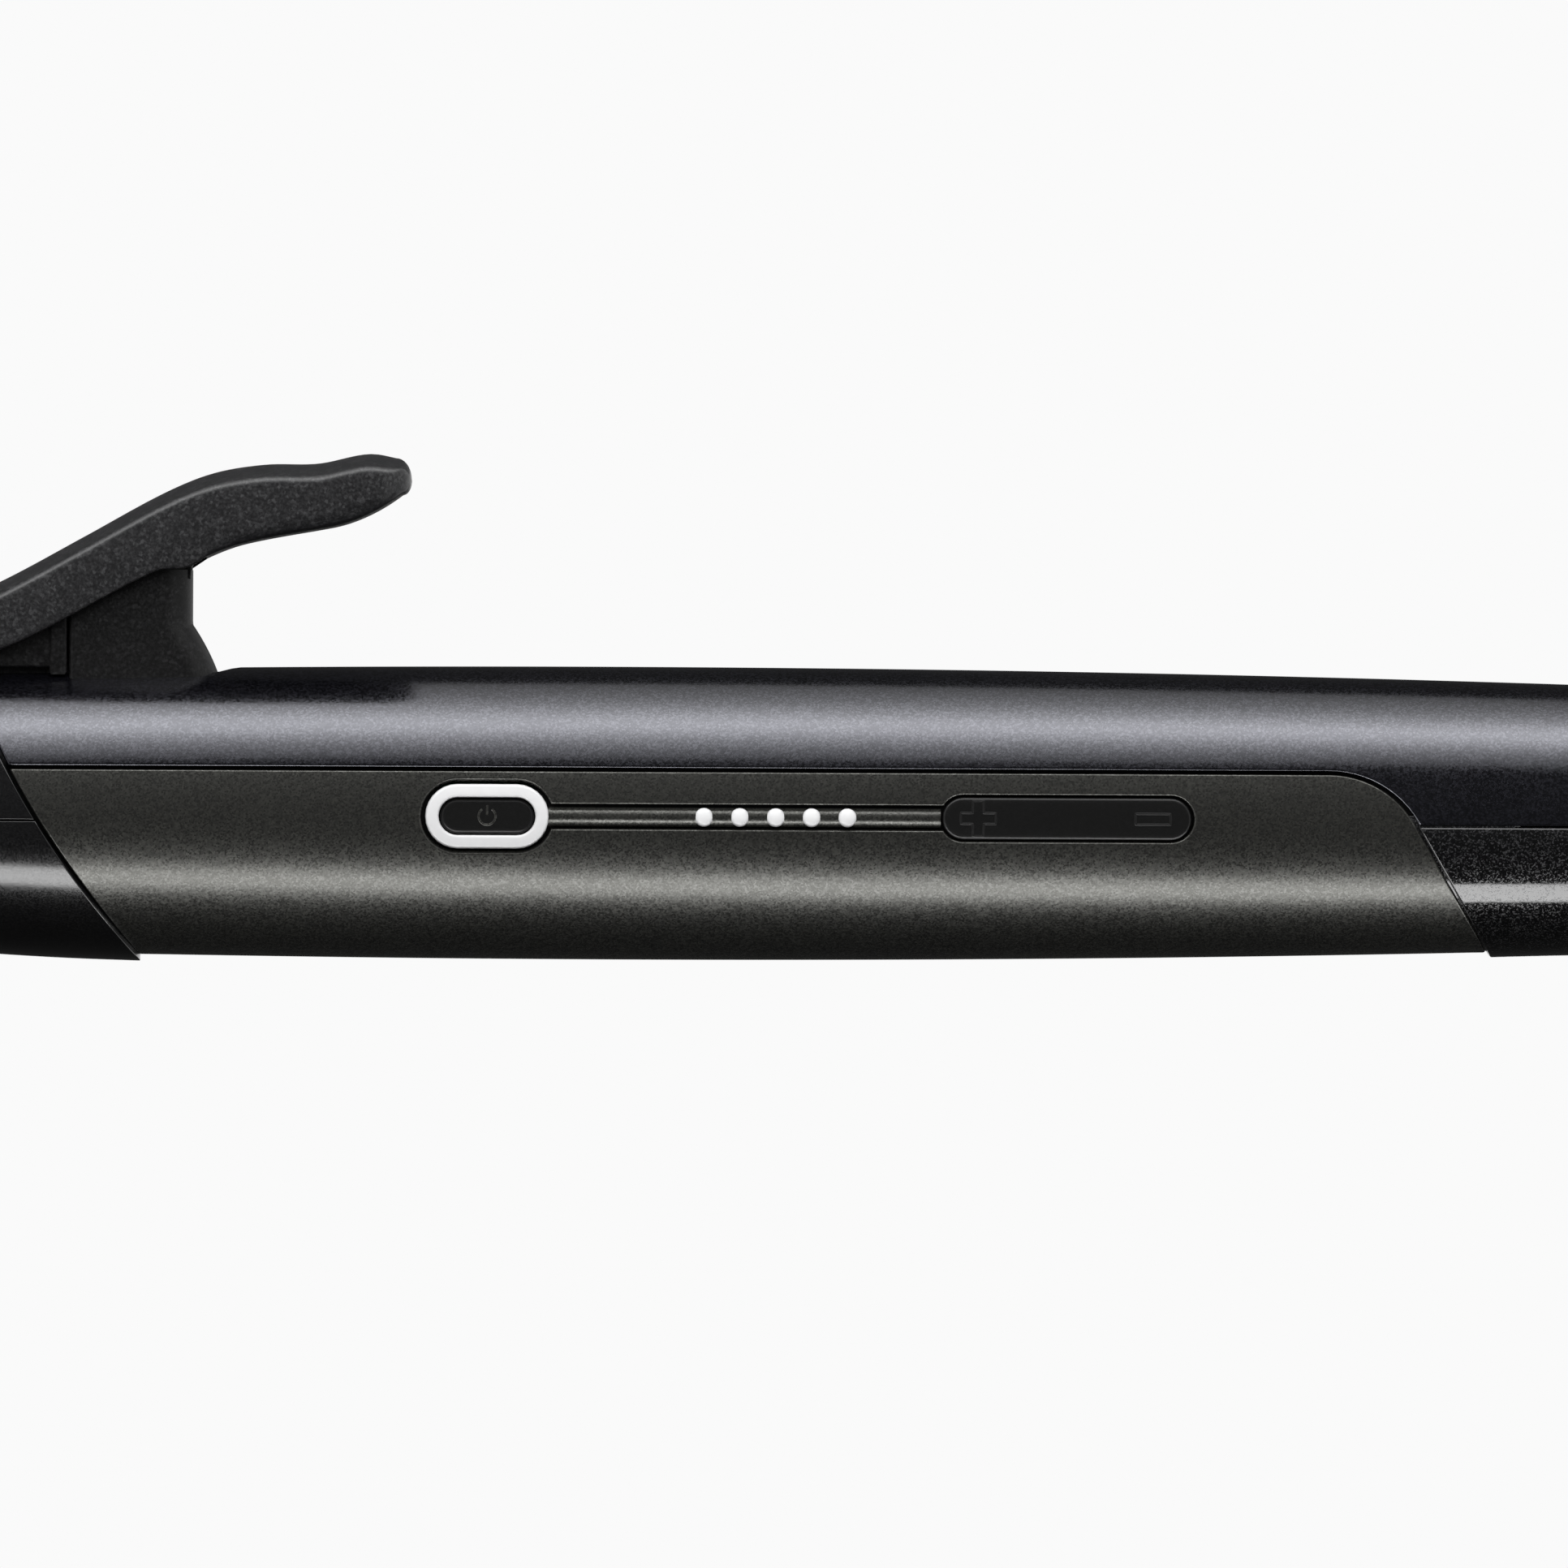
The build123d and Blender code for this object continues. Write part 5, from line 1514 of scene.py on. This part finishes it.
# Hinge post with its ears, the blade that closes the gap at the lever's rib and a low tongue
def post_ring(z):
    """Section of the post at a height: a rectangle with rounded corners, flared at its foot."""
    slope = (pivot_x - ear_radius - post_left) / (post_top - post_left_top)
    drop = max(0, (post_kink_z - z) / (post_kink_z - seat_z))
    front_x = post_left + max(0, z - post_left_top) * slope + post_front_round
    flare = (1 + post_flare_bow) * drop - post_flare_bow * drop * drop
    back_x = post_right + post_flare * flare - post_round
    front_y = post_half - post_front_round
    back_y = post_half - post_round
    corners = (
        (back_x, back_y, post_round),
        (front_x, front_y, post_front_round),
        (front_x, -front_y, post_front_round),
        (back_x, -back_y, post_round),
    )
    ring = []
    for quarter, (x, y, size) in enumerate(corners):
        plan = arc(x, y, size, quarter * pi / 2, (quarter + 1) * pi / 2, post_turn)
        ring += [(point.x, point.y, z) for point in plan]
    return ring


ear_foot = post_top - ear_sink
ear_line = [(pivot_x - ear_radius, ear_foot), (pivot_x + ear_radius - ear_heel, ear_foot)]
ear_line += arc(pivot_x, pivot_z, ear_radius, 0, pi, ear_turn)
tongue_line = box_line(tongue_start, tongue_stop, buried_z, tongue_top)
blade_line = box_line(blade_start, blade_stop, buried_z, blade_top)
post_levels = span(seat_z - post_sink, post_top - post_cap, post_step) + [post_top]
post = [
    solid("post_body", [post_ring(z) for z in post_levels]),
    prism("ear_near", ear_line, -ear_outer, -ear_inner, bevel, side_view),
    prism("ear_far", ear_line, ear_inner, ear_outer, bevel, side_view),
    prism("tongue", tongue_line, -tongue_half, tongue_half, rib_bevel, side_view),
    prism("blade", blade_line, -blade_half, blade_half, bevel, side_view),
]
post = joined("hinge_post_skin", post, post_crease)
# The post takes the darker copy of the lever's finish, as painted shade.
dress(post, "handle", "lever_black", "hinge_post", look="painted_shade_black")
spring = smooth_copy("torsion_spring", spring_crease)
dress(spring, "clamp", "bright_steel", "torsion_spring")

# Dark liner behind the joint of the neck and the handle
liner_profile = box_line(liner_start, liner_stop, liner_inner, liner_outer)
dress(turned("neck_liner", liner_profile, True), "handle", "key_black")

# Barrel, cool tip and cord inlet
barrel_profile = [
    (-barrel_length, barrel_radius - barrel_wall),
    (-barrel_length, barrel_radius - barrel_bevel),
    (-barrel_length + barrel_bevel, barrel_radius),
    (barrel_seat, barrel_radius),
    (barrel_seat, barrel_radius - barrel_wall),
]
dress(turned("barrel_skin", barrel_profile, True), "handle", "barrel_metal", "barrel_tube")

tip_profile = [(tip_end, on_axis)]
tip_profile += arc(tip_end + tip_bend, tip_radius - tip_bend, tip_bend, pi, pi / 2)
for i in range(tip_groove_count):
    groove_x = tip_end + tip_length / 2 + (2 * i - 1) * tip_groove_width
    groove_end = groove_x + tip_groove_width
    tip_profile += [
        (groove_x - tip_groove_flare, tip_radius),
        (groove_x + tip_groove_slope, tip_radius - tip_groove_depth),
        (groove_end - tip_groove_slope, tip_radius - tip_groove_depth),
        (groove_end + tip_groove_flare, tip_radius),
    ]
tip_profile += [
    (-barrel_length - tip_bevel, tip_radius),
    (-barrel_length, tip_radius - tip_bevel),
    (-barrel_length, tip_plug_radius),
    (-barrel_length + tip_plug, tip_plug_radius),
    (-barrel_length + tip_plug, on_axis),
]
dress(turned("cool_tip_skin", tip_profile), "handle", "tip_black", "cool_tip")

inlet_profile = [(handle_length - inlet_sink, on_axis), (handle_length - inlet_sink, inlet_radius)]
inlet_profile += [(handle_length + x, radius) for x, radius in inlet_rim]
inlet_profile += [(handle_length + inlet_length + x, radius) for x, radius in inlet_mouth]
dress(turned("cord_inlet_skin", inlet_profile), "swivel", "gloss_black", "swivel_gland")

# Wire stand, its sleeve and its stops on the neck
leg_way = Vector((-sin(stand_lean), 0, -cos(stand_lean)))
stand_pivot = Vector((stand_x, 0, split_z))
hooks = [(-neck_bore, 0), (-stand_half, 0), (-stand_half, stand_leg)]
hooks += [(-y, reach) for y, reach in hooks[::-1]]
wire_flat = [Vector(hooks[0])]
for before, corner, after in zip(hooks, hooks[1:], hooks[2:]):
    wire_flat += rounded(corner, before, after, stand_bend)
wire_flat.append(Vector(hooks[-1]))
wire_path = [stand_pivot + across * point.x + leg_way * point.y for point in wire_flat]
wire = tube("stand_wire_skin", wire_path, stand_wire, across.cross(leg_way))
dress(wire, "stand", "bright_steel", "stand_wire")

half_sleeve = [
    (-sleeve_half, stand_wire),
    (-sleeve_half, stand_sleeve - sleeve_bevel),
    (-sleeve_half + sleeve_bevel, stand_sleeve),
]
sleeve_profile = half_sleeve + [(-y, radius) for y, radius in half_sleeve[::-1]]
sleeve = crosswise("stand_sleeve_skin", stand_pivot + leg_way * stand_leg, sleeve_profile, True)
dress(sleeve, "stand", "sleeve_rubber", "stand_sleeve")

stop_way = Vector((-cos(stand_lean), 0, sin(stand_lean)))
stop_centre = stand_pivot + leg_way * stop_reach + stop_way * (stand_wire + stop_room + stop_radius)
stops = []
for side in (-1, 1):
    stops.append(crosswise("stop", stop_centre, [(side * y, radius) for y, radius in stop_profile]))
dress(joined("stand_stops", stops), "handle", "gloss_black", "collar_lower")

# Camera, level with the photo
view_distance = 4.0
picture_width = 0.1756
picture_centre = place(107.8, 0, 3.36)
photo_droop = radians(0.266)


def aim(piece, position, target, turn):
    """Point a lamp or the camera at a target, turned about its own line of sight."""
    piece.location = position
    piece.rotation_euler = (target - position).to_track_quat("-Z", "Y").to_euler()
    piece.rotation_euler.rotate_axis("Z", turn)


camera_data = bpy.data.cameras.new("camera")
camera_data.sensor_width = 36.0
camera_data.lens = camera_data.sensor_width * view_distance / picture_width
camera = new_object("camera", camera_data)
aim(camera, Vector((picture_centre.x, -view_distance, 0)), picture_centre, photo_droop - tilt)
bpy.context.scene.camera = camera

# Studio lamps
hot_line = 0.40
hot_width = 0.16
middle = place(100, 0, 0)


def softbox(name, angle, reach, width, height, power, skew=0.0):
    """Soft rectangular lamp in front of the handle, at an angle above level and turned by a skew."""
    lamp = bpy.data.lights.new(name, "AREA")
    lamp.shape = "RECTANGLE"
    lamp.size = width
    lamp.size_y = height
    lamp.energy = power
    lamp.use_nodes = True
    box = new_object(name, lamp)
    position = middle + reach * Vector((0, -cos(radians(angle)), sin(radians(angle))))
    aim(box, position, middle, radians(skew))
    return box


top_softbox = softbox("top_softbox", angle=82, reach=0.42, width=0.7, height=0.7, power=12.0)
top_softbox.visible_diffuse = False
low_strip = softbox("low_strip", angle=-60, reach=0.30, width=0.6, height=0.085, power=1.95, skew=-19)
low_strip.visible_diffuse = False
front_fill = softbox("front_fill", angle=28, reach=0.8, width=0.8, height=0.5, power=8.2)
front_fill.visible_glossy = False
floor_light = softbox("floor_light", angle=90, reach=1.2, width=1.2, height=1.2, power=18.0)

# The lamp above is brightest along one line across it
glow = Nodes(top_softbox.data.node_tree)
lamp_spot = glow.add("ShaderNodeNewGeometry", output="Parametric")
across_lamp = glow.add("ShaderNodeSeparateXYZ", sockets={0: lamp_spot}, output="Y")
from_hot = (across_lamp - hot_line) * (1 / hot_width)
glow.link(glow.tree.nodes["Emission"].inputs["Strength"], 1 / (from_hot * from_hot + 1))

# Pale paper floor that fades out all round and is clear from below
floor_radius = 0.9
fade_start = 0.3
fade_stop = 0.85
floor_mesh = bpy.data.meshes.new("floor")
floor_shape = bmesh.new()
bmesh.ops.create_circle(floor_shape, cap_ends=True, segments=barrel_sides, radius=floor_radius)
floor_shape.to_mesh(floor_mesh)
floor_shape.free()
floor = new_object("floor", floor_mesh)
floor.visible_glossy = False
floor.visible_diffuse = False

paper = Paint("floor_paper")
floor_far = paper.add("ShaderNodeVectorMath", {"operation": "LENGTH"}, {0: paper.spot}, "Value")
paper.set(
    Base_Color=paper.mix(paper.noise(2.0, 4.0), 0.78, 0.82),
    Roughness=0.9,
    Specular_IOR_Level=0.1,
)
from_below = paper.add("ShaderNodeNewGeometry", output="Backfacing")
see_through = paper.most(paper.band(floor_far, fade_start, fade_stop), from_below)
paper_side = Signal(paper, paper.shader.outputs[0])
clear_side = paper.add("ShaderNodeBsdfTransparent")
fade = paper.add("ShaderNodeMixShader", sockets={0: see_through, 1: paper_side, 2: clear_side})
paper.link(paper.tree.nodes["Material Output"].inputs["Surface"], fade)
floor_mesh.materials.append(paper.material)


def group_of(name, *pieces, state="EXCLUDE"):
    """Collection of pieces that a lamp leaves out or, with another state, lights alone."""
    group = bpy.data.collections.new(name)
    for piece in pieces:
        group.objects.link(piece)
    for entry in group.collection_objects:
        entry.light_linking.link_state = state
    return group


# The floor has a lamp of its own, and the strip below shines through it, past the lever, onto the handle
floor_light.light_linking.receiver_collection = group_of("floor_only", floor, state="INCLUDE")
front_fill.light_linking.receiver_collection = group_of("fill_misses", floor)
low_strip.light_linking.blocker_collection = group_of("strip_passes", floor)
low_strip.light_linking.receiver_collection = group_of("strip_misses", lever, braces, post)

# White room: all white to the camera, and in reflections to the sides and behind the object
white_level = 0.956
room_level = 0.15
dim_level = 0.03
front_level = 0.07
world = bpy.data.worlds.new("studio")
bpy.context.scene.world = world
world.use_nodes = True
world.node_tree.nodes.clear()
sky = Nodes(world.node_tree)
sky_way = sky.add("ShaderNodeTexCoord", output="Generated")
east, north, height = sky.outputs("ShaderNodeSeparateXYZ", "XYZ", {0: sky_way})
ray_names = ("Is Camera Ray", "Is Glossy Ray", "Is Transmission Ray")
camera_ray, glossy_ray, through_ray = sky.outputs("ShaderNodeLightPath", ray_names)
backdrop = sky.band(north, -0.3, 0.0) * (1 - sky.band(abs(height), 0.05, 0.09))
sides = sky.band(abs(east), 0.4, 0.6)
front_glow = sky.band(0 - north, 0.6, 0.95) * sky.band(height, -0.5, -0.1) * front_level
mirrored = sky.most(sky.most(backdrop, sides) * white_level, front_glow + dim_level)
seen = sky.most(glossy_ray, through_ray)
strength = camera_ray * white_level + (1 - camera_ray) * (seen * mirrored + (1 - seen) * room_level)
lit = sky.add("ShaderNodeBackground", sockets={"Color": (1, 1, 1, 1), "Strength": strength})
sky.link(sky.tree.nodes.new("ShaderNodeOutputWorld").inputs["Surface"], lit)

bpy.context.scene.view_settings.view_transform = "Standard"
